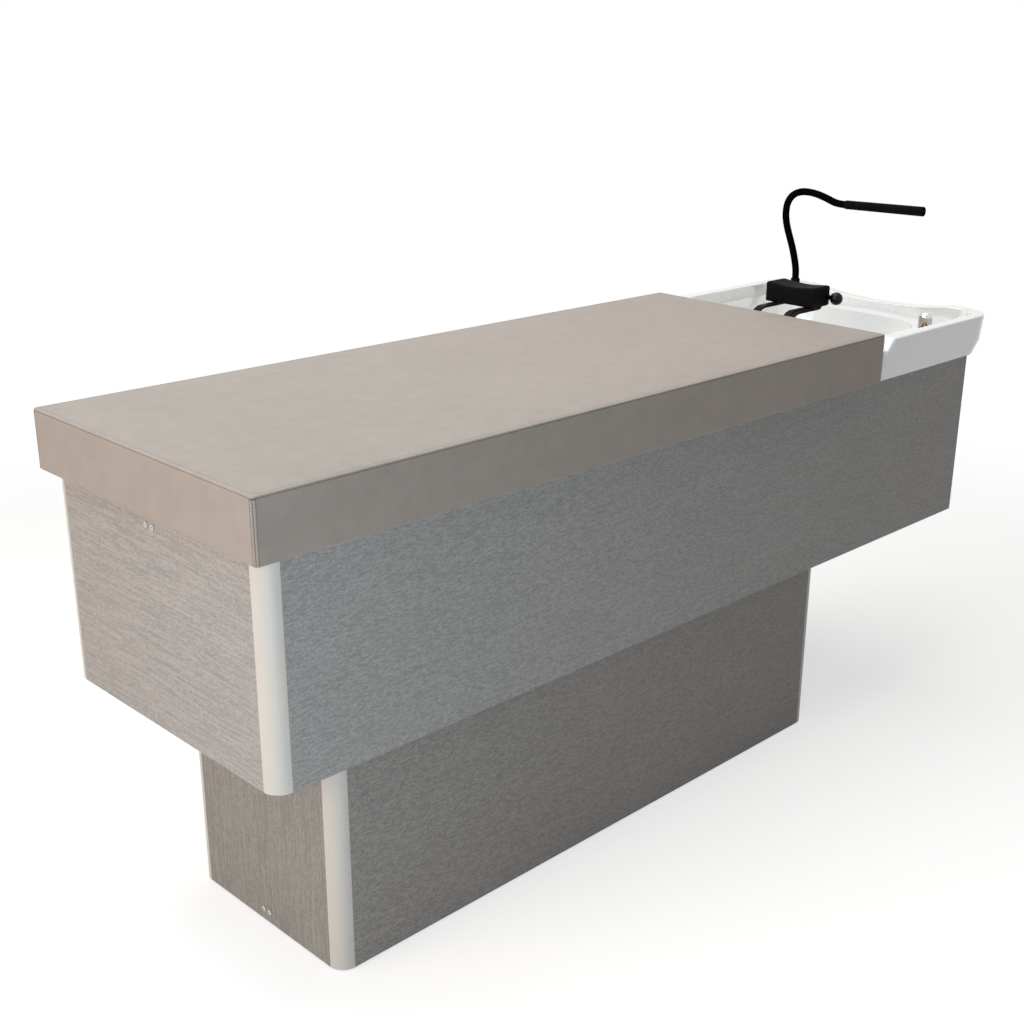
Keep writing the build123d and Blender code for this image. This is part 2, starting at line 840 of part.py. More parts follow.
with BuildPart() as casing_panel_screws:
    for y in screw_places:
        panel_screw((foot_x, y, casing_screw_z), -1, casing_screw_reach)
        panel_screw((head_x, y, head_screw_z), 1, casing_screw_reach)
casing_panel_screws.part.label = "casing_panel_screws"
export_step(casing_panel_screws.part, "parts/casing_panel_screws.step")

# Raise and lower switch on the head panel, where the hairdresser stands
with BuildPart() as switch_box:
    box_back = head_x - switch_box_depth
    plate_plane = Plane(origin=(head_x, switch_y, switch_z), x_dir=(0, 1, 0), z_dir=(1, 0, 0))
    with BuildSketch(plate_plane) as plate:
        RectangleRounded(switch_plate_width, switch_plate_height, switch_plate_corner)
    extrude(plate.sketch, amount=switch_plate_thick)
    slab(
        (box_back, switch_y - switch_box_width / 2, switch_z - switch_box_height / 2),
        (head_x, switch_y + switch_box_width / 2, switch_z + switch_box_height / 2),
    )
    slab(
        (
            box_back + switch_box_wall,
            switch_y - switch_box_width / 2 + switch_box_wall,
            switch_z - switch_box_height / 2 + switch_box_wall,
        ),
        (
            head_x - switch_box_wall,
            switch_y + switch_box_width / 2 - switch_box_wall,
            switch_z + switch_box_height / 2 - switch_box_wall,
        ),
        mode=Mode.SUBTRACT,
    )
    for side_z in (-1, 1):
        start = (box_back + 2 * switch_box_wall, switch_y, switch_z + side_z * button_spacing / 2)
        hole = button_diameter / 2 + button_gap
        rod(start, hole, switch_box_depth + switch_plate_thick, (1, 0, 0), mode=Mode.SUBTRACT)
        post_length = switch_box_depth / 2
        rod((box_back, *start[1:]), button_stem_diameter / 2, post_length, (1, 0, 0))
        rod(
            (box_back + switch_box_wall, *start[1:]),
            button_stem_diameter / 2 - button_seat,
            post_length,
            (1, 0, 0),
            mode=Mode.SUBTRACT,
        )
switch_box.part.label = "switch_box"
export_step(switch_box.part, "parts/switch_box.step")

for name, side_z in (("down", -1), ("up", 1)):
    with BuildPart() as switch_button:
        button_z = switch_z + side_z * button_spacing / 2
        button_foot = head_x - switch_box_depth + switch_box_depth / 2 + button_travel + slide_gap
        button_face = head_x + switch_plate_thick + button_proud
        rod(
            (button_foot, switch_y, button_z),
            button_diameter / 2,
            button_face - button_foot,
            (1, 0, 0),
        )
        chamfer(switch_button.edges().sort_by(Axis.X)[-1], length=button_bevel)
        rod(
            (button_foot - button_travel, switch_y, button_z),
            button_stem_diameter / 2 - button_seat - button_gap,
            button_travel,
            (1, 0, 0),
        )
        face_centre = (button_face, switch_y, button_z)
        face_plane = Plane(origin=face_centre, x_dir=(0, 1, 0), z_dir=(1, 0, 0))
        with BuildSketch(face_plane) as arrow:
            Triangle(a=button_mark_width, b=button_mark_width, c=button_mark_width)
        mark = arrow.sketch if side_z > 0 else arrow.sketch.rotate(
            Axis((0, switch_y, button_z), (1, 0, 0)), 180
        )
        extrude(mark, amount=-button_mark_depth, mode=Mode.SUBTRACT)
    switch_button.part.label = f"{name}_button"
    export_step(switch_button.part, f"parts/{name}_button.step")

# Mattress: one foam block whose top is slightly crowned and whose sides swell between the corners
mattress_foot_x = foot_x - mattress_overhang
mattress_top = casing_top + mattress_thick


def mattress_section(x, half_width, shoulder, crown):
    """Draw one cross-section of the mattress at a station along the bed."""
    side_middle = (casing_top + shoulder) / 2
    foot_half = half_width - mattress_side_swell
    with BuildSketch(Plane.YZ.offset(x)) as section:
        with BuildLine():
            Line((-foot_half, casing_top), (foot_half, casing_top))
            ThreePointArc((foot_half, casing_top), (half_width, side_middle), (foot_half, shoulder))
            ThreePointArc((foot_half, shoulder), (0, shoulder + crown), (-foot_half, shoulder))
            ThreePointArc((-foot_half, shoulder), (-half_width, side_middle), (-foot_half, casing_top))
        make_face()
    return section.sketch


with BuildPart() as mattress:
    half = mattress_width / 2
    shoulder = mattress_top - mattress_crown
    stations = [mattress_foot_x, mattress_foot_x + mattress_length / 2, mattress_head_x]
    draws = [mattress_end_draw, 0, mattress_end_draw]
    crowns = [mattress_crown / 2, mattress_crown, mattress_crown / 2]
    sections = [
        mattress_section(x, half - draw / 2, shoulder, crown)
        for x, draw, crown in zip(stations, draws, crowns)
    ]
    loft(sections)
    uprights = mattress.edges().group_by(lambda e: abs(round(e.tangent_at(0.5).Z)))[-1]
    fillet(uprights, mattress_corner)
    fillet(mattress.faces().sort_by(Axis.Z)[-1].edges(), mattress_edge)
mattress.part.label = "mattress"
export_step(mattress.part, "parts/mattress.step")

# Basin: a ceramic deck with a raised rim, a sunken bowl and a low neck edge
basin_foot_z = casing_top
rim_z = basin_foot_z + basin_height
ledge_z = rim_z - basin_ledge_depth
basin_end_x = head_x + basin_overhang


def basin_outline(z, neck, end, width, end_corner, neck_corner):
    """Draw the basin's plan at a height, with large corners at the head end."""
    with BuildSketch(Plane.XY.offset(z)) as plan:
        with Locations(((neck + end) / 2, 0)):
            Rectangle(end - neck, width)
        fillet(plan.vertices().group_by(Axis.X)[-1], end_corner)
        fillet(plan.vertices().group_by(Axis.X)[0], neck_corner)
    return plan.sketch


toe_share = basin_toe / basin_height
slot_end_x = basin_neck_x + neck_slot_depth
toe_end = basin_end_x - basin_end_draft * (1 - toe_share)
skirt_foot = basin_outline(
    basin_foot_z,
    basin_neck_x,
    toe_end - basin_toe_draw,
    basin_base_width,
    basin_toe_corner,
    basin_neck_corner,
)
skirt_toe = basin_outline(
    basin_foot_z + basin_toe,
    basin_neck_x,
    toe_end,
    basin_base_width + (basin_top_width - basin_base_width) * toe_share,
    basin_toe_corner,
    basin_neck_corner,
)
skirt_rim = basin_outline(
    rim_z,
    basin_neck_x + basin_neck_slant,
    basin_end_x,
    basin_top_width,
    basin_head_corner,
    basin_neck_corner,
)
cavity_top = ledge_z - basin_wall
cavity_share = (cavity_top - basin_foot_z) / basin_height
cavity_foot = basin_outline(
    basin_foot_z - overrun,
    slot_end_x + basin_wall,
    toe_end - basin_toe_draw - basin_wall,
    basin_base_width - 2 * basin_wall,
    basin_toe_corner - basin_wall,
    basin_neck_corner,
)
cavity_roof = basin_outline(
    cavity_top,
    slot_end_x + basin_wall,
    basin_end_x - basin_end_draft * (1 - cavity_share) - basin_wall,
    basin_base_width - 2 * basin_wall,
    basin_toe_corner - basin_wall,
    basin_neck_corner,
)
recess_neck = basin_neck_x + basin_neck_slant + basin_neck_rim
recess_end = basin_end_x - basin_rim_width
recess_half = basin_top_width / 2 - basin_rim_width
deck_half = min(recess_half, basin_base_width / 2 - basin_wall)
recess_corner = basin_head_corner - basin_rim_width
recess_floor = basin_outline(
    ledge_z,
    recess_neck,
    recess_end - basin_wall_draft,
    2 * (recess_half - basin_wall_draft),
    recess_corner,
    basin_neck_corner,
)
recess_mouth = basin_outline(
    rim_z + overrun,
    recess_neck,
    recess_end,
    2 * recess_half,
    recess_corner + basin_wall_draft,
    basin_neck_corner,
)

# The middle of the neck edge is low, and the head end of the rim dips
neck_recess_width = basin_base_width - 2 * neck_shoulder
saddle_width = basin_base_width - 2 * saddle_shoulder

# The bowl narrows from its mouth in the deck to a flat floor round the waste
bowl_mouth_x = recess_neck
bowl_length = head_x - panel_thick - bowl_panel_gap - basin_wall - bowl_mouth_x
bowl_width = 2 * (deck_half - bowl_side_land)
bowl_middle_x = bowl_mouth_x + bowl_length / 2
bowl_floor_x = bowl_mouth_x + bowl_floor_setback + bowl_floor_length / 2
bowl_floor_z = ledge_z - bowl_depth
waste_x = bowl_floor_x


def bowl_ring(z, depth_share, grow):
    """Draw the bowl's plan at a share of its depth, grown by the wall for the outer side."""
    ease = depth_share if depth_share in (0, 1) else bowl_waist_draw_share
    length = bowl_length + (bowl_floor_length - bowl_length) * ease
    width = bowl_width + (bowl_floor_width - bowl_width) * ease
    corner = bowl_corner + (bowl_floor_corner - bowl_corner) * ease
    centre = bowl_middle_x + (bowl_floor_x - bowl_middle_x) * ease
    with BuildSketch(Plane.XY.offset(z)) as ring:
        with Locations((centre, 0)):
            RectangleRounded(length + 2 * grow, width + 2 * grow, corner + grow)
    return ring.sketch


waist_z = ledge_z - bowl_depth * bowl_waist_share
bowl_inside = [
    bowl_ring(ledge_z + overrun, 0, 0),
    bowl_ring(waist_z, bowl_waist_share, 0),
    bowl_ring(bowl_floor_z, 1, 0),
]
bowl_outside = [
    bowl_ring(ledge_z - overrun, 0, basin_wall),
    bowl_ring(waist_z - basin_wall / 2, bowl_waist_share, basin_wall),
    bowl_ring(bowl_floor_z - basin_wall, 1, basin_wall),
]
mixer_x = basin_end_x - mixer_from_end
mixer_y = mixer_from_rim - deck_half
gooseneck_x = basin_end_x - gooseneck_from_end
gooseneck_y = deck_half - gooseneck_from_rim

with BuildPart() as basin:
    loft([skirt_foot, skirt_toe, skirt_rim], ruled=True)
    loft([cavity_foot, cavity_roof], ruled=True, mode=Mode.SUBTRACT)
    loft(bowl_outside)
    loft([recess_floor, recess_mouth], ruled=True, mode=Mode.SUBTRACT)
    loft(bowl_inside, mode=Mode.SUBTRACT)
    # the neck edge drops to the deck between two rounded shoulders
    with BuildSketch(Plane.YZ.offset(basin_neck_x - overrun)) as neck_cut:
        with Locations((0, ledge_z)):
            Rectangle(
                neck_recess_width,
                basin_height,
                align=(Align.CENTER, Align.MIN),
            )
        fillet(neck_cut.vertices().group_by(Axis.Y)[0], neck_recess_corner)
    neck_cut_length = basin_neck_slant + basin_neck_rim + 2 * overrun
    extrude(neck_cut.sketch, amount=neck_cut_length, mode=Mode.SUBTRACT)
    # the headrest's arms come up through a slot between the padded top and the basin
    slab(
        (basin_neck_x - overrun, -neck_slot_width / 2, basin_foot_z - overrun),
        (slot_end_x, neck_slot_width / 2, rim_z),
        mode=Mode.SUBTRACT,
    )
    # the head end of the rim dips in the middle
    saddle_radius = ((saddle_width / 2) ** 2 + saddle_depth**2) / (2 * saddle_depth)
    rod(
        (recess_end - basin_rim_width, 0, rim_z - saddle_depth + saddle_radius),
        saddle_radius,
        2 * basin_rim_width + overrun,
        (1, 0, 0),
        mode=Mode.SUBTRACT,
    )
    lowest = rim_z - saddle_depth - running_gap
    fillet(basin.edges().filter_by_position(Axis.Z, lowest, rim_z + running_gap), rim_round)
    rod(
        (waste_x, 0, bowl_floor_z - basin_wall - overrun),
        waste_hole_diameter / 2,
        basin_wall + 2 * overrun,
        mode=Mode.SUBTRACT,
    )
    for x, y, shank in (
        (mixer_x, mixer_y, mixer_shank_diameter),
        (gooseneck_x, gooseneck_y, gooseneck_shank_diameter),
    ):
        rod(
            (x, y, cavity_top - overrun),
            shank / 2 + 2 * hole_gap,
            basin_wall + 2 * overrun,
            mode=Mode.SUBTRACT,
        )
basin.part.label = "basin"
export_step(basin.part, "parts/basin.step")

# Waste: a chrome flange and tail clamped through the bowl floor, with a strainer that lifts out
tail_top = bowl_floor_z + waste_flange_thick
tail_bottom = tail_top - waste_tail_length
waste_bore = waste_tail_diameter / 2 - waste_wall
with BuildPart() as waste_flange:
    rod((waste_x, 0, bowl_floor_z), waste_flange_diameter / 2, waste_flange_thick)
    chamfer(waste_flange.faces().sort_by(Axis.Z)[-1].edges(), length=waste_flange_bevel)
    rod((waste_x, 0, tail_bottom), waste_tail_diameter / 2, waste_tail_length)
    rod(
        (waste_x, 0, tail_bottom - overrun),
        waste_bore,
        waste_tail_length + 2 * overrun,
        mode=Mode.SUBTRACT,
    )
waste_flange.part.label = "waste_flange"
export_step(waste_flange.part, "parts/waste_flange.step")

with BuildPart() as waste_strainer:
    basket_radius = waste_bore - strainer_gap
    basket_z = tail_top - strainer_height
    rod((waste_x, 0, tail_top), basket_radius + strainer_lip, strainer_lip_thick)
    rod((waste_x, 0, basket_z), basket_radius, strainer_height)
    rod(
        (waste_x, 0, basket_z + strainer_lip_thick),
        basket_radius - strainer_lip_thick,
        strainer_height + strainer_lip_thick,
        mode=Mode.SUBTRACT,
    )
    knob_radius = strainer_knob_diameter / 2
    rod((waste_x, 0, basket_z), knob_radius, strainer_height + strainer_knob_height)
    with BuildSketch(Plane(origin=(waste_x, 0, basket_z - overrun))) as drain_holes:
        with PolarLocations((basket_radius + knob_radius) / 2, strainer_hole_count):
            Circle(strainer_hole_diameter / 2)
    extrude(drain_holes.sketch, amount=strainer_lip_thick + 2 * overrun, mode=Mode.SUBTRACT)
waste_strainer.part.label = "waste_strainer"
export_step(waste_strainer.part, "parts/waste_strainer.step")

# Bottle trap under the tail, with an outlet towards +Y
trap_bottle_top = tail_bottom
trap_bottle_z = trap_bottle_top - trap_bottle_height
drain_radius = drain_pipe_diameter / 2
outlet_z = trap_bottle_top - 2 * trap_wall - drain_radius
outlet_start_y = trap_bottle_diameter / 2 + trap_wall
outlet_end_y = trap_bottle_diameter / 2 + trap_outlet_length
with BuildPart() as bottle_trap:
    rod((waste_x, 0, trap_bottle_z), trap_bottle_diameter / 2, trap_bottle_height)
    rod((waste_x, 0, trap_bottle_top), trap_collar_diameter / 2, trap_collar_height)
    rod((waste_x, 0, outlet_z), drain_radius + trap_wall, outlet_end_y, (0, 1, 0))
    rod(
        (waste_x, 0, trap_bottle_z + trap_wall),
        trap_bottle_diameter / 2 - trap_wall,
        trap_bottle_height - 2 * trap_wall,
        mode=Mode.SUBTRACT,
    )
    rod(
        (waste_x, 0, trap_bottle_top - trap_wall - overrun),
        waste_bore,
        trap_wall + 2 * overrun,
        mode=Mode.SUBTRACT,
    )
    rod(
        (waste_x, 0, trap_bottle_top),
        waste_tail_diameter / 2 + running_gap,
        trap_collar_height + overrun,
        mode=Mode.SUBTRACT,
    )
    rod(
        (waste_x, outlet_start_y, outlet_z),
        drain_radius + running_gap,
        trap_outlet_length + overrun,
        (0, 1, 0),
        mode=Mode.SUBTRACT,
    )
    rod(
        (waste_x, 0, outlet_z),
        drain_radius - drain_pipe_wall,
        outlet_end_y,
        (0, 1, 0),
        mode=Mode.SUBTRACT,
    )
bottle_trap.part.label = "bottle_trap"
export_step(bottle_trap.part, "parts/bottle_trap.step")

drain_end_z = casing_underside + drain_end_height
plate_z = casing_underside + service_plate_height
with BuildPart() as drain_pipe:
    with BuildLine() as drain_path:
        FilletPolyline(
            (waste_x, outlet_start_y, outlet_z),
            (waste_x, drain_drop_y, outlet_z),
            (waste_x, drain_drop_y, drain_end_z),
            radius=drain_bend_radius,
        )
    with BuildSketch(Plane(origin=drain_path.line @ 0, z_dir=drain_path.line % 0)):
        Circle(drain_radius)
        Circle(drain_radius - drain_pipe_wall, mode=Mode.SUBTRACT)
    sweep()
    with BuildSketch(Plane(origin=(waste_x, drain_drop_y, plate_z))) as drain_collar:
        Circle(drain_radius + drain_collar_rim)
        Circle(drain_radius - drain_pipe_wall / 2, mode=Mode.SUBTRACT)
    extrude(drain_collar.sketch, amount=-drain_collar_height)
drain_pipe.part.label = "drain_pipe"
export_step(drain_pipe.part, "parts/drain_pipe.step")

# Service plate between the side panels, where the building's water and drain connect
plate_top = plate_z + service_plate_thick
plate_foot_x = waste_x - service_plate_setback
plate_head_x = plate_foot_x + service_plate_length
plate_middle_x = (plate_foot_x + plate_head_x) / 2
union_places = (plate_middle_x - union_spacing / 2, plate_middle_x + union_spacing / 2)
union_y = -union_offset_y
union_top = plate_top + union_hex_height
thread_radius = union_thread_diameter / 2

with BuildPart() as service_plate:
    slab(
        (plate_foot_x, -casing_inner_half, plate_z),
        (plate_head_x, casing_inner_half, plate_top),
    )
    flange_top = plate_z + service_plate_flange
    slab(
        (plate_foot_x, -casing_inner_half, plate_z),
        (plate_head_x, -casing_inner_half + service_plate_thick, flange_top),
    )
    slab(
        (plate_foot_x, casing_inner_half - service_plate_thick, plate_z),
        (plate_head_x, casing_inner_half, flange_top),
    )
    plate_hole = service_plate_thick + 2 * overrun
    drain_hole = (waste_x, drain_drop_y, plate_z - overrun)
    rod(drain_hole, drain_radius + hole_gap, plate_hole, mode=Mode.SUBTRACT)
    for x in union_places:
        rod((x, union_y, plate_z - overrun), thread_radius + hole_gap, plate_hole, mode=Mode.SUBTRACT)
service_plate.part.label = "service_plate"
export_step(service_plate.part, "parts/service_plate.step")

with BuildPart() as water_unions:
    for x in union_places:
        rod((x, union_y, plate_top - union_thread_length), thread_radius, union_thread_length)
        for hex_z, hex_height in ((plate_top, union_hex_height), (plate_z, -union_nut_height)):
            with BuildSketch(Plane(origin=(x, union_y, hex_z))) as union_hex:
                RegularPolygon(union_hex_width / 2, side_count=6, major_radius=False)
            extrude(union_hex.sketch, amount=hex_height)
water_unions.part.label = "water_unions"
export_step(water_unions.part, "parts/water_unions.step")

# Mixer on the deck's near side: the cap turns for warmth and tips for flow
shank_bottom = ledge_z - mixer_shank_length
mixer_deck_z = ledge_z + mixer_flange_height
with BuildPart() as mixer_body:
    rod((mixer_x, mixer_y, ledge_z), mixer_flange_diameter / 2, mixer_flange_height)
    chamfer(mixer_body.faces().sort_by(Axis.Z)[-1].edges(), length=mixer_flange_bevel)
    rod((mixer_x, mixer_y, shank_bottom), mixer_shank_diameter / 2, mixer_shank_length)
mixer_body.part.label = "mixer_body"
export_step(mixer_body.part, "parts/mixer_body.step")

lever_ahead = Vector(-1, 0, 0).rotate(Axis.Z, mixer_facing)
lever_aside = Vector(0, 0, 1).cross(lever_ahead)
pin_z = ledge_z + mixer_pin_height
cap_radius = mixer_cap_diameter / 2
with BuildPart() as mixer_cartridge:
    rod((mixer_x, mixer_y, mixer_deck_z), mixer_core_diameter / 2, mixer_core_height)
    pin_half = cap_radius - running_gap
    pin_start = Vector(mixer_x, mixer_y, pin_z) - lever_aside * pin_half
    rod(pin_start, mixer_pin_diameter / 2, 2 * pin_half, lever_aside)
mixer_cartridge.part.label = "mixer_cartridge"
export_step(mixer_cartridge.part, "parts/mixer_cartridge.step")

cap_z = mixer_deck_z + mixer_cap_lift
with BuildPart() as mixer_lever:
    rod((mixer_x, mixer_y, cap_z), cap_radius, mixer_cap_height)
    fillet(mixer_lever.faces().sort_by(Axis.Z)[-1].edges(), mixer_cap_round)
    lever_reach = cap_radius + mixer_lever_length
    with BuildSketch(Plane(origin=(mixer_x, mixer_y, cap_z), x_dir=lever_ahead)) as lever_plan:
        with Locations((lever_reach / 2, 0)):
            RectangleRounded(lever_reach, mixer_lever_width, mixer_lever_round)
    extrude(lever_plan.sketch, amount=mixer_lever_thick)
    cap_bore_height = mixer_cap_height - mixer_cap_wall - mixer_lever_thick
    rod(
        (mixer_x, mixer_y, cap_z - overrun),
        cap_radius - mixer_cap_wall,
        cap_bore_height + overrun,
        mode=Mode.SUBTRACT,
    )
    notch_origin = (mixer_x, mixer_y, cap_z + mixer_lever_thick)
    with BuildSketch(Plane(origin=notch_origin, x_dir=lever_aside, z_dir=lever_ahead)) as notch:
        with BuildLine():
            notch_half = mixer_notch_width / 2
            Polyline((-notch_half, 0), (notch_half, 0), (0, mixer_notch_height), close=True)
        make_face()
    extrude(notch.sketch, amount=mixer_cap_diameter, mode=Mode.SUBTRACT)
    pin_hole_start = Vector(mixer_x, mixer_y, pin_z) - lever_aside * mixer_cap_diameter
    rod(
        pin_hole_start,
        mixer_pin_diameter / 2 + running_gap,
        2 * mixer_cap_diameter,
        lever_aside,
        mode=Mode.SUBTRACT,
    )
mixer_lever.part.label = "mixer_lever"
export_step(mixer_lever.part, "parts/mixer_lever.step")

# Nuts that clamp the mixer, the gooseneck and the waste from below
with BuildPart() as deck_nuts:
    nut_seats = (
        (mixer_x, mixer_y, cavity_top, mixer_shank_diameter / 2, deck_nut_height),
        (gooseneck_x, gooseneck_y, cavity_top, gooseneck_shank_diameter / 2, deck_nut_height),
        (waste_x, 0, bowl_floor_z - basin_wall, waste_tail_diameter / 2, waste_nut_height),
    )
    for x, y, seat_z, bore, height in nut_seats:
        with BuildSketch(Plane(origin=(x, y, seat_z))) as clamp_nut:
            RegularPolygon(bore + nut_rim, side_count=6, major_radius=False)
            Circle(bore + running_gap, mode=Mode.SUBTRACT)
        extrude(clamp_nut.sketch, amount=-height)
deck_nuts.part.label = "deck_nuts"
export_step(deck_nuts.part, "parts/deck_nuts.step")

# Gooseneck: a collar fixed in the deck, a turning ferrule, a stiff hose and the hand shower
collar_top = ledge_z + gooseneck_collar_height
shank_foot = ledge_z - gooseneck_shank_length
half_elbow = gooseneck_elbow / 2
elbow_z = shank_foot - half_elbow
with BuildPart() as gooseneck_base:
    rod((gooseneck_x, gooseneck_y, ledge_z), gooseneck_flange_diameter / 2, gooseneck_flange_height)
    chamfer(gooseneck_base.faces().sort_by(Axis.Z)[-1].edges(), length=gooseneck_bevel)
    collar_radius = gooseneck_collar_diameter / 2
    rod((gooseneck_x, gooseneck_y, ledge_z), collar_radius, gooseneck_collar_height)
    rod(
        (gooseneck_x, gooseneck_y, shank_foot),
        gooseneck_shank_diameter / 2,
        gooseneck_shank_length,
    )
    slab(
        (gooseneck_x - half_elbow, gooseneck_y - half_elbow, elbow_z - half_elbow),
        (gooseneck_x + half_elbow, gooseneck_y + half_elbow, shank_foot),
    )
    socket_depth = gooseneck_spigot_length + slide_gap
    rod(
        (gooseneck_x, gooseneck_y, collar_top - socket_depth),
        gooseneck_spigot_diameter / 2 + running_gap,
        socket_depth + overrun,
        mode=Mode.SUBTRACT,
    )
gooseneck_base.part.label = "gooseneck_base"
export_step(gooseneck_base.part, "parts/gooseneck_base.step")

ferrule_z = collar_top + slide_gap
with BuildPart() as gooseneck_ferrule:
    rod((gooseneck_x, gooseneck_y, ferrule_z), gooseneck_ferrule_diameter / 2, gooseneck_ferrule_height)
    chamfer(gooseneck_ferrule.faces().sort_by(Axis.Z)[-1].edges(), length=gooseneck_bevel)
    rod(
        (gooseneck_x, gooseneck_y, ferrule_z - gooseneck_spigot_length),
        gooseneck_spigot_diameter / 2,
        gooseneck_spigot_length,
    )
gooseneck_ferrule.part.label = "gooseneck_ferrule"
export_step(gooseneck_ferrule.part, "parts/gooseneck_ferrule.step")

bend_share = 0.45


def bend_radii(name, points):
    """Give each corner of a route the largest radius that its two runs leave room for."""
    vectors = [Vector(*point) for point in points]
    radii = []
    for before, here, after in zip(vectors, vectors[1:], vectors[2:]):
        run_in, run_out = here - before, after - here
        half_turn = math.radians(run_in.get_angle(run_out) / 2)
        radii.append(bend_share * min(run_in.length, run_out.length) / math.tan(half_turn))
    runs = [(b - a).length for a, b in zip(vectors, vectors[1:])]
    print(name, "radii", [round(r) for r in radii], "runs", [round(run) for run in runs])
    return radii


def hose_volume(name, path, diameter, volume):
    """Print a hose's volume beside its section times its length."""
    length = sum(edge.length for edge in path.edges())
    expected = math.pi * diameter**2 / 4 * length
    print(name, "length", round(length), "volume", round(volume), "expected", round(expected))


# Offsets from the top of the ferrule, across the bed and upwards, as the hose stands
gooseneck_route = [
    (0, 0),
    (0, 22),
    (6, 48),
    (15, 78),
    (27, 108),
    (40, 138),
    (49, 167),
    (50.5, 194),
    (45, 219),
    (28, 239.5),
    (2, 249.5),
    (-26, 251),
    (-56, 247.5),
    (-88, 239),
    (-116, 229.5),
    (-138, 227),
    (-155, 227.4),
]
hose_start_z = ferrule_z + gooseneck_ferrule_height
neck_points = [(gooseneck_x, gooseneck_y + y, hose_start_z + z) for y, z in gooseneck_route]
with BuildPart() as gooseneck_hose:
    with BuildLine() as neck_path:
        FilletPolyline(*neck_points, radius=bend_radii("gooseneck hose", neck_points))
    with BuildSketch(Plane(origin=neck_path.line @ 0, z_dir=neck_path.line % 0)):
        Circle(gooseneck_hose_diameter / 2)
    sweep()
hose_volume("gooseneck hose", neck_path.line, gooseneck_hose_diameter, gooseneck_hose.part.volume)
gooseneck_hose.part.label = "gooseneck_hose"
export_step(gooseneck_hose.part, "parts/gooseneck_hose.step")

# Hand shower: a slightly flared tube with grip rings at the hose end and a plate of jets
wand_start = Vector(*neck_points[-1])
wand_ahead = (wand_start - Vector(*neck_points[-2])).normalized()
wand_plane = Plane(origin=wand_start, x_dir=(1, 0, 0), z_dir=wand_ahead)
mouth_radius = wand_end_diameter / 2 - wand_wall
with BuildPart() as shower_wand:
    with BuildSketch(wand_plane):
        Circle(wand_neck_diameter / 2)
    with BuildSketch(wand_plane.offset(wand_length)):
        Circle(wand_end_diameter / 2)
    loft()
    for index in range(wand_ring_count):
        with BuildSketch(wand_plane.offset(wand_ring_pitch * (index + 1))) as groove:
            Circle(wand_end_diameter)
            Circle(wand_neck_diameter / 2 - wand_ring_depth, mode=Mode.SUBTRACT)
        extrude(groove.sketch, amount=wand_ring_width, mode=Mode.SUBTRACT)
    with BuildSketch(wand_plane.offset(wand_length + overrun)) as mouth:
        Circle(mouth_radius)
    mouth_depth = spray_plate_setback + spray_plate_thick + overrun
    extrude(mouth.sketch, amount=-mouth_depth, mode=Mode.SUBTRACT)
shower_wand.part.label = "shower_wand"
export_step(shower_wand.part, "parts/shower_wand.step")

with BuildPart() as spray_plate:
    with BuildSketch(wand_plane.offset(wand_length - spray_plate_setback - spray_plate_thick)):
        Circle(mouth_radius)
        with PolarLocations(mouth_radius * 2 / 3, spray_hole_count):
            Circle(spray_hole_diameter / 2, mode=Mode.SUBTRACT)
    extrude(amount=spray_plate_thick)
spray_plate.part.label = "spray_plate"
export_step(spray_plate.part, "parts/spray_plate.step")

# Hoses in the casing: hot and cold up to the mixer, mixed water across to the gooseneck
# Each row gives the share of the way along, the sway in hose diameters and the share of the rise
supply_route_shares = [
    (0, 0, 0, 0),
    (0, 0, 0, 0.13),
    (0, 0.8, -0.4, 0.3),
    (0.33, 0, -0.4, 0.46),
    (0.67, 0, -0.4, 0.61),
    (1, -0.6, -0.2, 0.75),
    (1, 0, 0, 0.87),
    (1, 0, 0, 1),
]
supply_y = mixer_y - supply_hose_offset
supply_rise = shank_bottom - union_top
with BuildPart() as supply_hoses:
    for side, union_x in zip((-1, 1), union_places):
        tail_x = mixer_x + side * supply_hose_offset
        supply_points = [
            (
                union_x + (tail_x - union_x) * way + supply_hose_diameter * sway_x,
                union_y + (supply_y - union_y) * way + supply_hose_diameter * sway_y,
                union_top + supply_rise * rise,
            )
            for way, sway_x, sway_y, rise in supply_route_shares
        ]
        with BuildLine() as supply_path:
            FilletPolyline(*supply_points, radius=bend_radii("supply hose", supply_points))
        with BuildSketch(Plane(origin=supply_points[0])) as supply_end:
            Circle(supply_hose_diameter / 2)
        sweep(supply_end.sketch, path=supply_path.line)
supply_hoses.part.label = "supply_hoses"
export_step(supply_hoses.part, "parts/supply_hoses.step")

# Each row gives the share of the way along the bed, across it and down to the lowest point
mixed_route_shares = [
    (0, 0, 0),
    (0, 0, 0.21),
    (0.013, 0.02, 0.46),
    (0.026, 0.069, 0.69),
    (0.04, 0.145, 0.85),
    (0.06, 0.251, 0.94),
    (0.08, 0.376, 0.983),
    (0.092, 0.511, 1),
    (0.092, 0.651, 0.983),
    (0.092, 0.776, 0.94),
    (0.092, 0.882, 0.84),
    (0.098, 0.958, 0.67),
    (0.118, 1.002, 0.435),
    (0.177, 1.013, 0.21),
    (0.341, 1.011, 0.035),
    (0.59, 1.004, -0.035),
]
mixed_start_y = mixer_y + supply_hose_offset
mixed_end_x = gooseneck_x - half_elbow
mixed_span_x = mixed_end_x - mixer_x
mixed_span_y = gooseneck_y - mixed_start_y
mixed_points = [
    (
        mixer_x + mixed_span_x * along,
        mixed_start_y + mixed_span_y * across,
        shank_bottom - mixed_hose_drop * down,
    )
    for along, across, down in mixed_route_shares
]
mixed_points += [
    (mixed_end_x - 2 * supply_hose_diameter, gooseneck_y, elbow_z),
    (mixed_end_x, gooseneck_y, elbow_z),
]
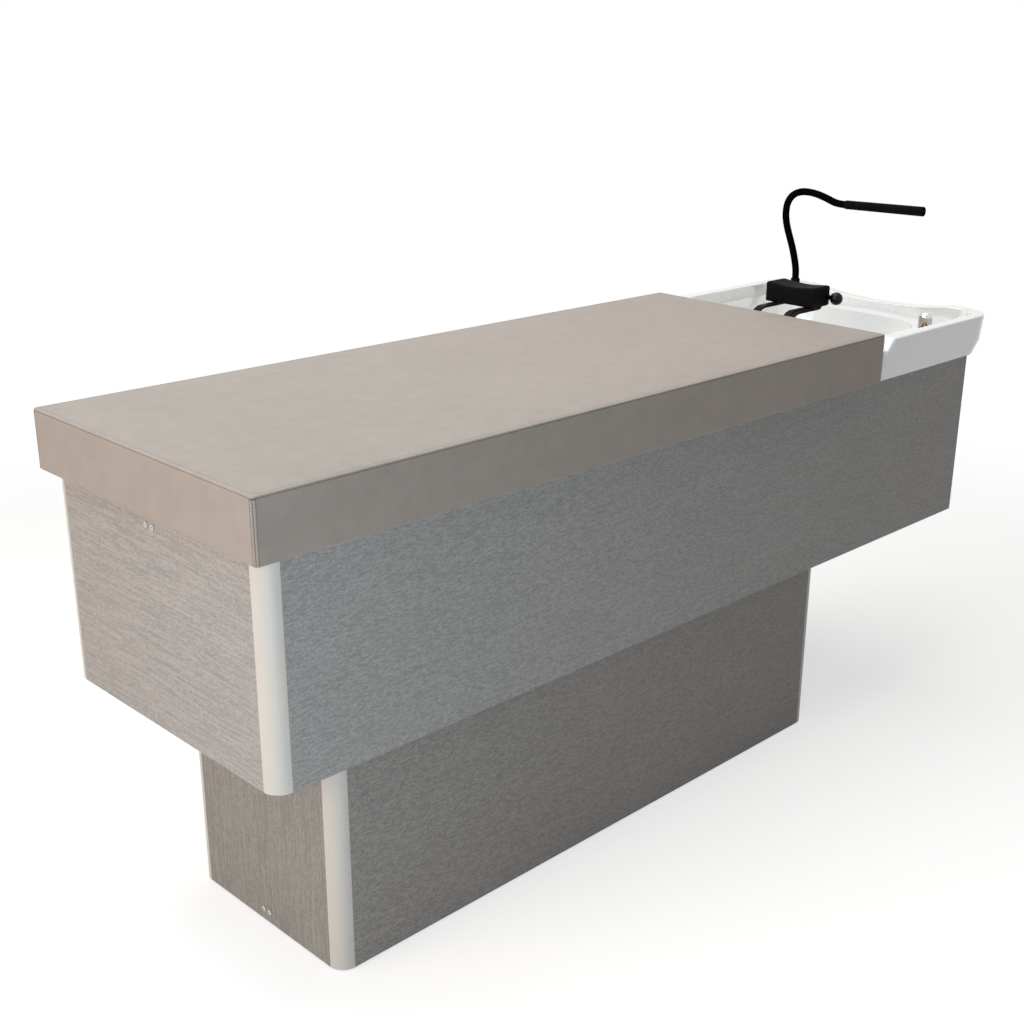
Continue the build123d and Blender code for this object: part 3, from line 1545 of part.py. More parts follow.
with BuildPart() as mixed_water_hose:
    with BuildLine() as mixed_path:
        FilletPolyline(*mixed_points, radius=bend_radii("mixed water hose", mixed_points))
    with BuildSketch(Plane(origin=mixed_path.line @ 0, z_dir=mixed_path.line % 0)):
        Circle(supply_hose_diameter / 2)
    sweep()
hose_volume("mixed water hose", mixed_path.line, supply_hose_diameter, mixed_water_hose.part.volume)
mixed_water_hose.part.label = "mixed_water_hose"
export_step(mixed_water_hose.part, "parts/mixed_water_hose.step")

# Headrest: two bent arms rise between mattress and basin and carry a tilting pad on a rod
pad_foot_x = mattress_head_x + headrest_from_mattress
pad_head_x = pad_foot_x + headrest_length
pad_z = mattress_top + headrest_above_mattress
pad_top = pad_z + headrest_height
pad_half = headrest_width / 2
rod_x = pad_head_x - headrest_rod_setback
rod_z = pad_z + headrest_rod_rise
eye_radius = headrest_eye_diameter / 2
rod_radius = headrest_rod_diameter / 2
arm_places = (
    headrest_arm_offset - headrest_arm_spacing / 2,
    headrest_arm_offset + headrest_arm_spacing / 2,
)
arm_halves = (headrest_near_arm_width / 2, headrest_arm_width / 2)
arm_x = bearer_x + headrest_arm_thick / 2
arm_z = pad_z - headrest_arm_clear - headrest_arm_thick / 2
bearer_z = frame_top - cross_height

with BuildPart() as headrest_arms:
    for y, arm_half in zip(arm_places, arm_halves):
        with BuildSketch(Plane.XZ.offset(-y + arm_half)) as arm_side:
            with BuildLine():
                FilletPolyline(
                    (arm_x, bearer_z),
                    (arm_x, arm_z),
                    (rod_x - 2 * eye_radius, arm_z),
                    (rod_x, rod_z),
                    radius=[headrest_arm_sweep, headrest_arm_bend],
                )
            trace(line_width=headrest_arm_thick)
            with Locations((rod_x, rod_z)):
                Circle(eye_radius)
                Circle(rod_radius + running_gap, mode=Mode.SUBTRACT)
        extrude(arm_side.sketch, amount=-2 * arm_half)
    slab(
        (bearer_x, arm_places[0] + arm_halves[0], bearer_z),
        (
            bearer_x + headrest_arm_thick,
            arm_places[1] - arm_halves[1],
            bearer_z + headrest_bar_height,
        ),
    )
    # the near arm is slit along its bend
    slit_start = arm_x + headrest_arm_thick
    slit_end = pad_foot_x - headrest_arm_thick
    slit_y = arm_places[0] - arm_halves[0] + headrest_arm_lip + headrest_arm_slot / 2
    with BuildSketch(Plane.XY.offset(arm_z - headrest_arm_sweep)) as arm_slot:
        with Locations(((slit_start + slit_end) / 2, slit_y)):
            SlotOverall(slit_end - slit_start, headrest_arm_slot)
    slit_height = headrest_arm_sweep + headrest_arm_thick
    extrude(arm_slot.sketch, amount=slit_height, mode=Mode.SUBTRACT)
headrest_arms.part.label = "headrest_arms"
export_step(headrest_arms.part, "parts/headrest_arms.step")

with BuildPart() as headrest_rod:
    rod((rod_x, -pad_half, rod_z), rod_radius, headrest_width, (0, 1, 0))
    thread_end_y = -pad_half - knob_thread_length
    rod((rod_x, thread_end_y, rod_z), knob_thread_diameter / 2, knob_thread_length, (0, 1, 0))
headrest_rod.part.label = "headrest_rod"
export_step(headrest_rod.part, "parts/headrest_rod.step")

with BuildPart() as headrest_pad:
    with BuildSketch(Plane.YZ.offset(pad_foot_x)) as pad_section:
        with BuildLine():
            shoulder_y = pad_half - headrest_shoulder
            Polyline(
                (-shoulder_y, pad_top),
                (-pad_half, pad_top),
                (-pad_half, pad_z),
                (pad_half, pad_z),
                (pad_half, pad_top),
                (shoulder_y, pad_top),
            )
            ThreePointArc((shoulder_y, pad_top), (0, pad_top - headrest_saddle), (-shoulder_y, pad_top))
        make_face()
        fillet(pad_section.vertices(), headrest_round)
    extrude(amount=headrest_length)
    foot_top = headrest_pad.faces().sort_by(Axis.X)[0].edges()
    head_top = headrest_pad.faces().sort_by(Axis.X)[-1].edges()
    fillet(foot_top + head_top, headrest_round)
    for y, arm_half in zip(arm_places, arm_halves):
        slot_half = arm_half + headrest_slot_gap
        slab(
            (rod_x - 2 * eye_radius - headrest_arm_thick, y - slot_half, pad_z - overrun),
            (pad_head_x + overrun, y + slot_half, rod_z + eye_radius + headrest_slot_gap),
            mode=Mode.SUBTRACT,
        )
    bore_start = (rod_x, -pad_half - overrun, rod_z)
    bore_length = headrest_width + 2 * overrun
    rod(bore_start, rod_radius + running_gap, bore_length, (0, 1, 0), mode=Mode.SUBTRACT)
headrest_pad.part.label = "headrest_pad"
export_step(headrest_pad.part, "parts/headrest_pad.step")

with BuildPart() as headrest_knob:
    collar_y = -pad_half - slide_gap
    ball_y = -pad_half - knob_reach
    rod((rod_x, collar_y, rod_z), knob_collar_diameter / 2, knob_collar_thick, (0, -1, 0))
    rod((rod_x, collar_y, rod_z), knob_stem_diameter / 2, collar_y - ball_y, (0, -1, 0))
    with Locations((rod_x, ball_y, rod_z)):
        Sphere(knob_diameter / 2)
    thread_bore = knob_thread_diameter / 2 + running_gap
    rod((rod_x, collar_y + overrun, rod_z), thread_bore, knob_thread_length + 2 * overrun, (0, -1, 0),
        mode=Mode.SUBTRACT)
headrest_knob.part.label = "headrest_knob"
export_step(headrest_knob.part, "parts/headrest_knob.step")
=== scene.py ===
# %% [markdown]
# # A hair washing bed, dressed for its portrait
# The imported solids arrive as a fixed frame: every piece already sits in its place, in metres,
# with the floor at z = 0 and the basin towards +X. What follows only adds looks. It gives each
# piece its finish, and it replaces the soft and the smooth pieces by better meshes.

import math

import bpy
from mathutils import Matrix, Vector
from mathutils.bvhtree import BVHTree
from mathutils.kdtree import KDTree


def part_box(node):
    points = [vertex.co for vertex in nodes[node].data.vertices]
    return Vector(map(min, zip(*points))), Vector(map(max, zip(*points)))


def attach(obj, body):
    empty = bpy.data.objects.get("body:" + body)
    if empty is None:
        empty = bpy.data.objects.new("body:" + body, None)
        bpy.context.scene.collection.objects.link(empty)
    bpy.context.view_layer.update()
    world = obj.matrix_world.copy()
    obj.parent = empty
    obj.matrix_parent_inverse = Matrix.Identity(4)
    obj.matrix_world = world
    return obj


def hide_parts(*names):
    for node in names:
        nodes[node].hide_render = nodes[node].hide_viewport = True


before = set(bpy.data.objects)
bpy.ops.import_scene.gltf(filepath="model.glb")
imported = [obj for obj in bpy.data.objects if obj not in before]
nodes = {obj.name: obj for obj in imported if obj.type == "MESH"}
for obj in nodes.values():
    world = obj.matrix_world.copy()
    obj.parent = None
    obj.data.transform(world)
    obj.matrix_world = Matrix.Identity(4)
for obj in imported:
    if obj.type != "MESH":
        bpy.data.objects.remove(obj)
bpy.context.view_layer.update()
print("pieces in the frame:", len(nodes))

# %% [markdown]
# ## Where the camera stands
# A product photograph of furniture is taken from a little above the top, with a lens long enough
# to keep upright edges upright. Straight edges of the top, the casing, the plinth and the basin
# gave this place and lens. The lens's axis doesn't meet the frame's middle, as in a photograph
# that was cropped, and a small shift says so. One could aim a camera with a Track To constraint,
# but three angles say the same with nothing left to update.

# %% the camera
sensor_width = 36.0
focal_pixels = 1417.268
frame_pixels = 1024
axis_right_pixels = 60.744
axis_down_pixels = 31.236
heading, tilt, roll = math.radians(46.3469), math.radians(-20.4744), math.radians(1.0723)

lens = bpy.data.cameras.new("portrait_camera")
lens.sensor_width = sensor_width
lens.lens = focal_pixels / frame_pixels * sensor_width
lens.shift_x = -axis_right_pixels / frame_pixels
lens.shift_y = axis_down_pixels / frame_pixels
camera = bpy.data.objects.new("portrait_camera", lens)
bpy.context.scene.collection.objects.link(camera)
aim = Matrix.Rotation(-heading, 4, "Z") @ Matrix.Rotation(math.pi / 2 + tilt, 4, "X")
camera.matrix_world = (
    Matrix.Translation((-2.36341, -2.17807, 1.79570)) @ aim @ Matrix.Rotation(roll, 4, "Z")
)
bpy.context.scene.camera = camera
print("lens: %.1f mm" % lens.lens)

# %% [markdown]
# ## One way to write shader maths
# A material is a web of nodes. Laying out forty Math nodes by hand is slow to write and hopeless
# to read, so a small class holds one socket and lets Python's own signs add the nodes. Every
# other node comes from one method that takes its type, its settings and what feeds it.

# %% the class for shader maths
class Strand:
    """One socket of a material. Arithmetic on it adds Math nodes."""

    def __init__(self, tree, socket=None):
        self.tree = tree
        self.socket = socket

    def node(self, kind, settings=None, feeds=None, output=0):
        made = self.tree.nodes.new(kind)
        for name, value in (settings or {}).items():
            setattr(made, name, value)
        for name, value in (feeds or {}).items():
            if isinstance(value, Strand):
                self.tree.links.new(value.socket, made.inputs[name])
            else:
                made.inputs[name].default_value = value
        return Strand(self.tree, made.outputs[output])

    def maths(self, operation, first, second=0.0):
        return self.node("ShaderNodeMath", {"operation": operation}, {0: first, 1: second})

    def __add__(self, other):
        return self.maths("ADD", self, other)

    def __sub__(self, other):
        return self.maths("SUBTRACT", self, other)

    def __rsub__(self, other):
        return self.maths("SUBTRACT", other, self)

    def __mul__(self, other):
        return self.maths("MULTIPLY", self, other)

    __radd__ = __add__
    __rmul__ = __mul__

    def between(self, low, high):
        """0 below low, 1 above high, smooth between."""
        return self.node(
            "ShaderNodeMapRange",
            {"interpolation_type": "SMOOTHSTEP"},
            {"Value": self, "From Min": low, "From Max": high},
        )

    def blend_colours(self, first, second):
        """This strand is the share of the second colour."""
        return self.node(
            "ShaderNodeMix", {"data_type": "RGBA"}, {0: self, 6: first, 7: second}, output=2
        )


print("strands add Math nodes by", [s for s in "+ - *".split()])

# %% [markdown]
# ## A blank material
# Every finish here ends in one Principled shader. What stays the same over the surface is a
# number on its own socket. What varies goes in through colour, roughness and a Bump node.

# %% a blank material and what is common to all of them
def blank(name, **fixed):
    made = bpy.data.materials.new(name)
    made.use_nodes = True
    tree = made.node_tree
    shader = tree.nodes["Principled BSDF"]
    for label, value in fixed.items():
        shader.inputs[label.replace("_", " ")].default_value = value
    return made, Strand(tree), shader


def wear(shader, strand, **varying):
    for label, value in varying.items():
        strand.tree.links.new(value.socket, shader.inputs[label.replace("_", " ")])


def colour(red, green, blue):
    return (red, green, blue, 1.0)


def greyed(shade, goal, share):
    """A colour moved a share of the way to one grey level."""
    return tuple(c + (goal - c) * share for c in shade[:3]) + (1.0,)


def place(strand, along=(1, 1, 1)):
    """Object coordinates, stretched: a grain that runs along one axis is squeezed there."""
    where = strand.node("ShaderNodeTexCoord", output="Object")
    return strand.node("ShaderNodeMapping", {}, {"Vector": where, "Scale": along})


def grain(strand, where, scale, detail=2.0, rough=0.5):
    return strand.node(
        "ShaderNodeTexNoise",
        {"noise_dimensions": "3D"},
        {"Vector": where, "Scale": scale, "Detail": detail, "Roughness": rough},
    )


def relief(strand, height, depth):
    """A Bump node: height runs 0 to 1 and depth is in metres."""
    return strand.node(
        "ShaderNodeBump", {}, {"Height": height, "Strength": 1.0, "Distance": depth}
    )


finishes = {}
print("ready for finishes")

# %% [markdown]
# ## Leatherette
# The padded top wears coated fabric: a taupe skin with a faint cloudiness left by the embossing
# roll, a pebble of about a millimetre, and a soft bloom at grazing angles. A photograph of real
# skin would do, but noise at three scales needs no file and never repeats.

# %% leatherette
def leatherette(name, light, dark, sheen):
    made, web, shader = blank(name, Sheen_Weight=sheen, Sheen_Roughness=0.5)
    still = place(web)
    clouds = grain(web, still, 5.0, 3.0).between(0.3, 0.7)
    drift = grain(web, still, 24.0, 4.0, 0.6).between(0.36, 0.64)
    pebble = web.node(
        "ShaderNodeTexVoronoi", {"feature": "SMOOTH_F1"}, {"Vector": still, "Scale": 780.0}
    )
    fleck = grain(web, still, 420.0, 2.0)
    tone = clouds * 0.35 + drift * 0.5 + fleck * 0.15
    wear(
        shader,
        web,
        Base_Color=tone.blend_colours(dark, light),
        Roughness=0.46 + fleck * 0.16 + pebble * 0.1,
        Normal=relief(web, pebble * 0.7 + fleck * 0.5 + drift * 0.5, 0.00022),
    )
    return made


finishes["leatherette"] = leatherette(
    "leatherette", colour(0.456, 0.396, 0.360), colour(0.402, 0.347, 0.314), 0.12
)
finishes["seam"] = leatherette(
    "sewing_thread", colour(0.34, 0.295, 0.27), colour(0.28, 0.245, 0.22), 0.05
)
# seam_shadow is painted shade: a near-black leatherette for the beads in the seams, standing in
# for the dark of the ditch.
finishes["ditch"] = leatherette(
    "seam_shadow", colour(0.20, 0.17, 0.155), colour(0.15, 0.13, 0.118), 0.0
)
print("leatherette:", len(finishes["leatherette"].node_tree.nodes), "nodes")

# %% [markdown]
# ## Linen laminate
# Casing and plinth are boards faced with a printed laminate that imitates woven linen: short
# light and dark threads that run level, crossed by a much weaker upright weave. Noise squeezed
# thirty to one looks like fur, because its blobs taper. So the height is cut into rows with Floor,
# and each row reads its own line of noise, which keeps every thread straight and of one thickness.
# The two long axes are added, so that one function serves the boards that face the foot, where
# long threads show, and those that face the side, where the weave looks like fine speckle.

# %% linen laminate
def linen(name, light, dark, shares, upright=False):
    made, web, shader = blank(name, Specular_IOR_Level=0.35)
    where = web.node("ShaderNodeTexCoord", output="Object")
    apart = web.node("ShaderNodeSeparateXYZ", {}, {"Vector": where})
    x, y, z = (Strand(web.tree, s) for s in apart.socket.node.outputs)
    level = x + y
    run, cross = (z, level) if upright else (level, z)

    def threads(along, row_height):
        row = web.maths("FLOOR", cross * (1.0 / row_height))
        flat = web.node("ShaderNodeCombineXYZ", {}, {0: run * along + row * 7.31, 1: row * 3.77})
        return web.node(
            "ShaderNodeTexNoise",
            {"noise_dimensions": "2D"},
            {"Vector": flat, "Scale": 1.0, "Detail": 1.0, "Roughness": 0.5},
        )

    long_threads = threads(8.0, 0.0032)
    short_threads = threads(62.0, 0.0027)
    weft = threads(300.0, 0.0024)
    cloud = web.node("ShaderNodeCombineXYZ", {}, {0: run * 2.6, 1: cross * 6.0})
    patches = grain(web, cloud, 1.0)
    long_share, short_share, weft_share = shares
    weave = long_threads * long_share + short_threads * short_share + weft * weft_share
    tone = (weave + (patches - 0.5) * 0.06).between(0.36, 0.64)
    wear(
        shader,
        web,
        Base_Color=tone.blend_colours(dark, light),
        Roughness=0.42 + weave * 0.24,
        Normal=relief(web, weave, 0.00004),
    )
    return made


speckled = (0.14, 0.40, 0.46)
threaded = (0.33, 0.29, 0.38)
casing_tones = colour(0.520, 0.498, 0.488), colour(0.345, 0.329, 0.325)
finishes["casing_laminate"] = linen("casing_linen", *casing_tones, speckled)
casing_foot_laminate = linen("casing_linen_foot", *casing_tones, threaded)
finishes["plinth_laminate"] = linen(
    "plinth_linen", colour(0.457, 0.425, 0.405), colour(0.295, 0.268, 0.256), speckled
)
# A darker, cooler copy of the plinth laminate: painted shade for the plinth's foot board, which
# lies under the casing.
plinth_upright_shaded = linen(
    "plinth_linen_upright_shaded",
    colour(0.408, 0.398, 0.379),
    colour(0.263, 0.249, 0.234),
    threaded,
    upright=True,
)
print("laminate:", len(finishes["casing_laminate"].node_tree.nodes), "nodes")

# %% [markdown]
# ## Extruded corner profile
# The rounded corners are drawn plastic or lacquered aluminium in warm white. Drawing leaves very
# fine lines along the length, which show only as a slight spread of the highlight.

# %% corner profile
def drawn_profile(name, shade):
    made, web, shader = blank(name, Specular_IOR_Level=0.5)
    lines = grain(web, place(web, (1400.0, 1400.0, 3.0)), 1.0, 2.0)
    haze = grain(web, place(web), 14.0, 3.0)
    tone = lines * 0.35 + haze * 0.65
    wear(
        shader,
        web,
        Base_Color=tone.blend_colours(greyed(shade, 0.0, 0.06), shade),
        Roughness=0.34 + tone * 0.14,
        Normal=relief(web, lines, 0.00003),
    )
    return made


finishes["profile"] = drawn_profile("cream_profile", colour(0.78, 0.74, 0.70))
print("profile ready")

# %% [markdown]
# ## Glazed fireclay
# A salon basin is cast fireclay under a thick white glaze. The glaze is mirror smooth, yet it
# flows before it hardens, so reflections wander a little. Noise at palm size in the bump does it.

# %% glaze
def glaze(name):
    made, web, shader = blank(
        name, Coat_Weight=1.0, Coat_Roughness=0.03, Coat_IOR=1.8, Specular_IOR_Level=1.0
    )
    flow = grain(web, place(web), 16.0, 2.0)
    specks = grain(web, place(web), 700.0, 1.0).between(0.74, 0.8)
    tone = flow.between(0.2, 0.8)
    plain = tone.blend_colours(colour(0.925, 0.92, 0.915), colour(0.945, 0.942, 0.94))
    wear(
        shader,
        web,
        Base_Color=specks.blend_colours(plain, colour(0.84, 0.832, 0.822)),
        Roughness=0.09 + flow * 0.06,
        Normal=relief(web, flow, 0.0004),
    )
    return made


finishes["ceramic"] = glaze("white_glaze")
print("glaze ready")

# %% [markdown]
# ## Metals
# Plated and bare metals differ in three ways only: their tint, how rough they are, and in which
# direction they were worked. One function with these three makes the chrome, the anodised tubes
# of the columns, the turned spindles and the bronze nuts.

# %% metals
def metal(name, shade, rough, worked=(60.0, 60.0, 60.0), depth=0.00002, smudge=0.08):
    made, web, shader = blank(name, Metallic=1.0)
    marks = grain(web, place(web, worked), 1.0, 2.0)
    touch = grain(web, place(web), 45.0, 4.0, 0.6)
    wear(
        shader,
        web,
        Base_Color=touch.between(0.3, 0.7).blend_colours(greyed(shade, 0.0, 0.1), shade),
        Roughness=rough + touch * smudge,
        Normal=relief(web, marks, depth),
    )
    return made


finishes["chrome"] = metal("chrome", colour(0.70, 0.66, 0.645), 0.05, depth=0.00001)
finishes["column_steel"] = metal(
    "anodised_tube", colour(0.62, 0.62, 0.63), 0.3, (900.0, 900.0, 6.0)
)
finishes["spindle_steel"] = metal(
    "turned_steel", colour(0.50, 0.49, 0.48), 0.28, (60.0, 60.0, 2400.0)
)
finishes["bronze_nut"] = metal("bronze", colour(0.55, 0.39, 0.20), 0.3)
print("metals ready")

# %% [markdown]
# ## Painted steel
# Frames are welded tube under powder coat, whose skin is like orange peel at two millimetres.

# %% painted steel and moulded plastics
def coated(name, shade, rough, peel=500.0, depth=0.00006, gloss=0.5, spread=0.08):
    made, web, shader = blank(name, Specular_IOR_Level=gloss)
    skin = grain(web, place(web), peel, 2.0)
    dust = grain(web, place(web), 11.0, 5.0, 0.65).between(0.35, 0.75)
    wear(
        shader,
        web,
        Base_Color=dust.blend_colours(shade, greyed(shade, 0.5, spread)),
        Roughness=rough + skin * 0.1 + dust * 0.06,
        Normal=relief(web, skin, depth),
    )
    return made


finishes["frame_steel"] = coated("frame_paint", colour(0.16, 0.165, 0.175), 0.42)
finishes["dark_steel"] = coated(
    "arm_paint", colour(0.012, 0.006, 0.005), 0.4, gloss=0.06, spread=0.006
)
finishes["black_cushion"] = coated(
    "black_foam_skin", colour(0.009, 0.009, 0.0095), 0.5, 900.0, 0.00012, 0.02, 0.004
)
finishes["black_knob"] = coated(
    "black_knob", colour(0.003, 0.003, 0.003), 0.03, 60.0, 0.00001, 0.2, 0.002
)
finishes["black_hose"] = coated(
    "black_hose", colour(0.003, 0.003, 0.0033), 0.6, 240.0, 0.00006, 0.0, 0.001
)
finishes["black_plastic"] = coated(
    "black_plastic", colour(0.007, 0.007, 0.0075), 0.5, gloss=0.01, spread=0.004
)
finishes["grey_plastic"] = coated("grey_plastic", colour(0.27, 0.27, 0.275), 0.38)
finishes["white_plastic"] = coated("white_plastic", colour(0.72, 0.72, 0.70), 0.36)
finishes["glide"] = coated("glide", colour(0.60, 0.59, 0.55), 0.46)
print("coated finishes ready")

# %% [markdown]
# ## Plywood
# The board under the padded top is plywood: long grain on its faces.

# %% plywood
def plywood(name):
    made, web, shader = blank(name)
    rings = grain(web, place(web, (1.2, 26.0, 200.0)), 3.0, 4.0, 0.6)
    pores = grain(web, place(web, (18.0, 700.0, 700.0)), 1.0, 2.0)
    tone = rings * 0.8 + pores * 0.2
    wear(
        shader,
        web,
        Base_Color=tone.between(0.3, 0.7).blend_colours(
            colour(0.42, 0.27, 0.14), colour(0.58, 0.42, 0.25)
        ),
        Roughness=0.55 + pores * 0.2,
        Normal=relief(web, pores, 0.0001),
    )
    return made


finishes["board"] = plywood("plywood")
print("plywood ready")

# %% [markdown]
# ## Dressing the solids
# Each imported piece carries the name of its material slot, so a dictionary from slot to finish
# dresses all of them in one loop.

# %% dress the solids
bare = []
for name, piece in nodes.items():
    for place_in_list, worn in enumerate(piece.data.materials):
        slot_name = worn.name.split(".")[0]
        if slot_name in finishes:
            piece.data.materials[place_in_list] = finishes[slot_name]
        else:
            bare.append((name, slot_name))
# The plinth's foot board wears the darker copy, whose colour paints the shade under the casing.
nodes["plinth_foot_panel"].data.materials[0] = plinth_upright_shaded
nodes["casing_foot_panel"].data.materials[0] = casing_foot_laminate
for name in ("gooseneck_ferrule", "spray_plate"):
    nodes[name].data.materials[0] = finishes["black_plastic"]
print("without a finish:", bare)

# %% [markdown]
# ## A rounded block of quads
# The padded top and the headrest pad both start as a block with rounded edges. Bevelling a cube
# would do, but its long faces would have no points to move. Here six grids of quads share their
# border points, and every point near an edge is thrown onto an ellipsoid. The grid lines crowd
# together at the edges, where the rounding and the seams need them.

# %% the rounded block
def grid_lines(reach, step, crowd):
    """Places from -reach to reach, close to the ends at the distances in crowd."""
    inner = reach - crowd[-1]
    count = max(1, round(2 * inner / step))
    middle = [-inner + 2 * inner * index / count for index in range(count + 1)]
    ends = [reach - distance for distance in crowd[:-1]]
    return [-end for end in ends] + middle + ends[::-1]


def rounded_block(low, high, radii, step, crowd):
    """Points and quads of a box whose edges follow an ellipsoid of the given radii."""
    middle = (Vector(low) + Vector(high)) / 2
    half = (Vector(high) - Vector(low)) / 2
    lines = [grid_lines(reach, step, crowd) for reach in half]
    points, quads, known = [], [], {}

    def point_at(where):
        key = tuple(round(value, 6) for value in where)
        if key not in known:
            known[key] = len(points)
            core = [max(r - h, min(h - r, c)) for c, h, r in zip(where, half, radii)]
            lean = Vector([(c - k) / r for c, k, r in zip(where, core, radii)]).normalized()
            points.append(middle + Vector([k + n * r for k, n, r in zip(core, lean, radii)]))
        return known[key]

    for axis in range(3):
        across, up = (axis + 1) % 3, (axis + 2) % 3
        for side in (-1, 1):
            for first, second in zip(lines[across], lines[across][1:]):
                for lower, upper in zip(lines[up], lines[up][1:]):
                    loop = []
                    for a, b in ((first, lower), (second, lower), (second, upper), (first, upper)):
                        where = [0.0, 0.0, 0.0]
                        where[axis], where[across], where[up] = side * half[axis], a, b
                        loop.append(point_at(where))
                    quads.append(loop if side > 0 else loop[::-1])
    return points, quads


def mesh_object(name, points, quads, *worn):
    data = bpy.data.meshes.new(name)
    data.from_pydata([tuple(p) for p in points], [], quads)
    for finish in worn:
        data.materials.append(finish)
    data.polygons.foreach_set("use_smooth", [True] * len(data.polygons))
    made = bpy.data.objects.new(name, data)
    bpy.context.scene.collection.objects.link(made)
    return made


def smoothed(piece):
    """Subdivide a piece once and leave it a plain mesh."""
    piece.modifiers.new("smoother", "SUBSURF").levels = 1
    seen = piece.evaluated_get(bpy.context.evaluated_depsgraph_get())
    data = bpy.data.meshes.new_from_object(seen)
    piece.modifiers.clear()
    piece.data = data
    return piece


sample_quads = rounded_block((0, 0, 0), (1, 1, 1), (0.1,) * 3, 0.2, (0, 0.1))[1]
print("a sample block:", len(sample_quads), "quads")

# %% [markdown]
# ## The padded top
# On the real bed a board carries foam, and a sewn cover is pulled over it and stapled below. The
# cover is tight, so the top is nearly flat with a slight crown, and the long sides swell by a
# few millimetres. Moving points by a formula looks drawn. Here Cloth blows up a coarse copy whose
# underside is held, and the finer cover follows that copy point by point, so the seams can be
# sharper than the simulation's own mesh. The sewn edges are stiff, so they keep their place.

# %% blow up a coarse cover
top_low, top_high = (Vector(corner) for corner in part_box("mattress"))
cover_slack = Vector((0.0, 0.0, -0.0015))
cover_radii = (0.008, 0.008, 0.005)
top_rest = [
    (top_low.x + cover_slack.x, top_low.y + cover_slack.y, top_low.z),
    (top_high.x - cover_slack.x, top_high.y - cover_slack.y, top_high.z - cover_slack.z),
]


def blown_up(points, quads, held_below, pressure, frames):
    """Run Cloth on a closed cover and give where its points went."""
    cover = mesh_object("coarse_cover", points, quads)
    held = cover.vertex_groups.new(name="held")
    held.add([i for i, p in enumerate(points) if p.z < held_below], 1.0, "REPLACE")
    swell = cover.modifiers.new("swell", "CLOTH")
    swell.settings.quality = 8
    swell.settings.mass = 0.4
    swell.settings.tension_stiffness = 40
    swell.settings.compression_stiffness = 40
    swell.settings.use_pressure = True
    swell.settings.uniform_pressure_force = pressure
    swell.settings.effector_weights.gravity = 0.0
    swell.settings.vertex_group_mass = "held"
    swell.point_cache.frame_start = 1
    swell.point_cache.frame_end = frames
    for frame_number in range(1, frames + 1):
        bpy.context.scene.frame_set(frame_number)
    seen = cover.evaluated_get(bpy.context.evaluated_depsgraph_get())
    moved = [vertex.co.copy() for vertex in seen.data.vertices]
    bpy.data.objects.remove(cover)
    bpy.context.scene.frame_set(1)
    return moved


coarse_step, stapled_height = 0.026, 0.03
air_pressure, cloth_frames = 4.0, 20
coarse_points, coarse_quads = rounded_block(
    *top_rest, cover_radii, coarse_step, (0, 0.012, coarse_step)
)
coarse_moved = coarse_points
coarse_moved = blown_up(
    coarse_points, coarse_quads, top_low.z + stapled_height, air_pressure, cloth_frames
)
swells = [after - before for before, after in zip(coarse_points, coarse_moved)]
print("largest swell: %.1f mm" % (1000 * max(swell.length for swell in swells)))

# %% the fine cover follows it
ditch_below_top, ditch_width, ditch_depth = 0.0055, 0.0021, 0.0013
groove_inset, groove_width, groove_depth = 0.0085, 0.0075, 0.0009
swell_limit = Vector((0.004, 0.004, 0.0035))
stiff_edge, soft_middle = 0.006, 0.085
blur_points, blur_reach = 24, 0.042
seam_crowd = (0, 0.0012, 0.0024, 0.0036, 0.0048, 0.006, 0.0085, 0.012, 0.018, 0.026)
fine_step = 0.024
fine_points, fine_quads = rounded_block(*top_rest, cover_radii, fine_step, seam_crowd)
coarse_tree = KDTree(len(coarse_points))
for index, point in enumerate(coarse_points):
    coarse_tree.insert(point, index)
coarse_tree.balance()
top_edge_z = top_rest[1][2]
ditch_z = top_edge_z - ditch_below_top


def limited(value, limit):
    return limit * math.tanh(value / limit)


def follow(point):
    """How far the coarse cover moved round a point, blurred and with a soft limit."""
    total, mean = 0.0, Vector((0, 0, 0))
    for _, index, distance in coarse_tree.find_n(point, blur_points):
        share = math.exp(-((distance / blur_reach) ** 2))
        mean += swells[index] * share
        total += share
    mean /= total
    return Vector([limited(value, limit) for value, limit in zip(mean, swell_limit)])


def ditch(distance, width=ditch_width, depth=ditch_depth):
    share = abs(distance) / width
    return depth * (1 - share * share) ** 2 if share < 1 else 0.0


top_middle = (top_low + top_high) / 2
top_half = (top_high - top_low) / 2


def freedom(point):
    """0 on the sewn edges and 1 well inside a panel."""
    off_edge = sorted(h - abs(offset) for h, offset in zip(top_half, point - top_middle))[1]
    share = max(0.0, min(1.0, (off_edge - stiff_edge) / (soft_middle - stiff_edge)))
    return share * share * (3 - 2 * share)


def off_corner_seam(outward):
    """Distance along the rounding from the upright seam at a foot corner."""
    return (abs(math.atan2(outward.y, -outward.x)) - math.pi / 4) * cover_radii[0]


flat_below = 0.001
foot_corner_x = top_rest[0][0] + cover_radii[0]
foot_corner_y = top_rest[1][1] - cover_radii[1]
cover_points = []
for point in fine_points:
    moved = point + follow(point) * freedom(point)
    beside = max(
        abs(point.x - top_middle.x) - top_half.x, abs(point.y - top_middle.y) - top_half.y
    )
    if point.z > top_edge_z - flat_below:
        moved.z -= ditch(beside + groove_inset, groove_width, groove_depth)
    if beside > -cover_radii[0]:
        outward = Vector((0, 0, 0))
        for axis, reach in ((0, top_middle.x - foot_corner_x), (1, foot_corner_y - top_middle.y)):
            offset = point[axis] - top_middle[axis]
            if abs(offset) > reach:
                outward[axis] = offset - math.copysign(reach, offset)
        if outward.length > 0:
            outward.normalize()
            moved -= outward * ditch(point.z - ditch_z)
            below_edge = point.z < top_edge_z - cover_radii[2]
            if outward.x < 0 and abs(outward.y) > 0 and below_edge:
                moved -= outward * ditch(off_corner_seam(outward))
    cover_points.append(moved)

padded_top = smoothed(
    mesh_object("padded_top", cover_points, fine_quads, finishes["leatherette"])
)
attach(padded_top, "upper")
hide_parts("mattress")
print("padded top:", len(padded_top.data.polygons), "faces")
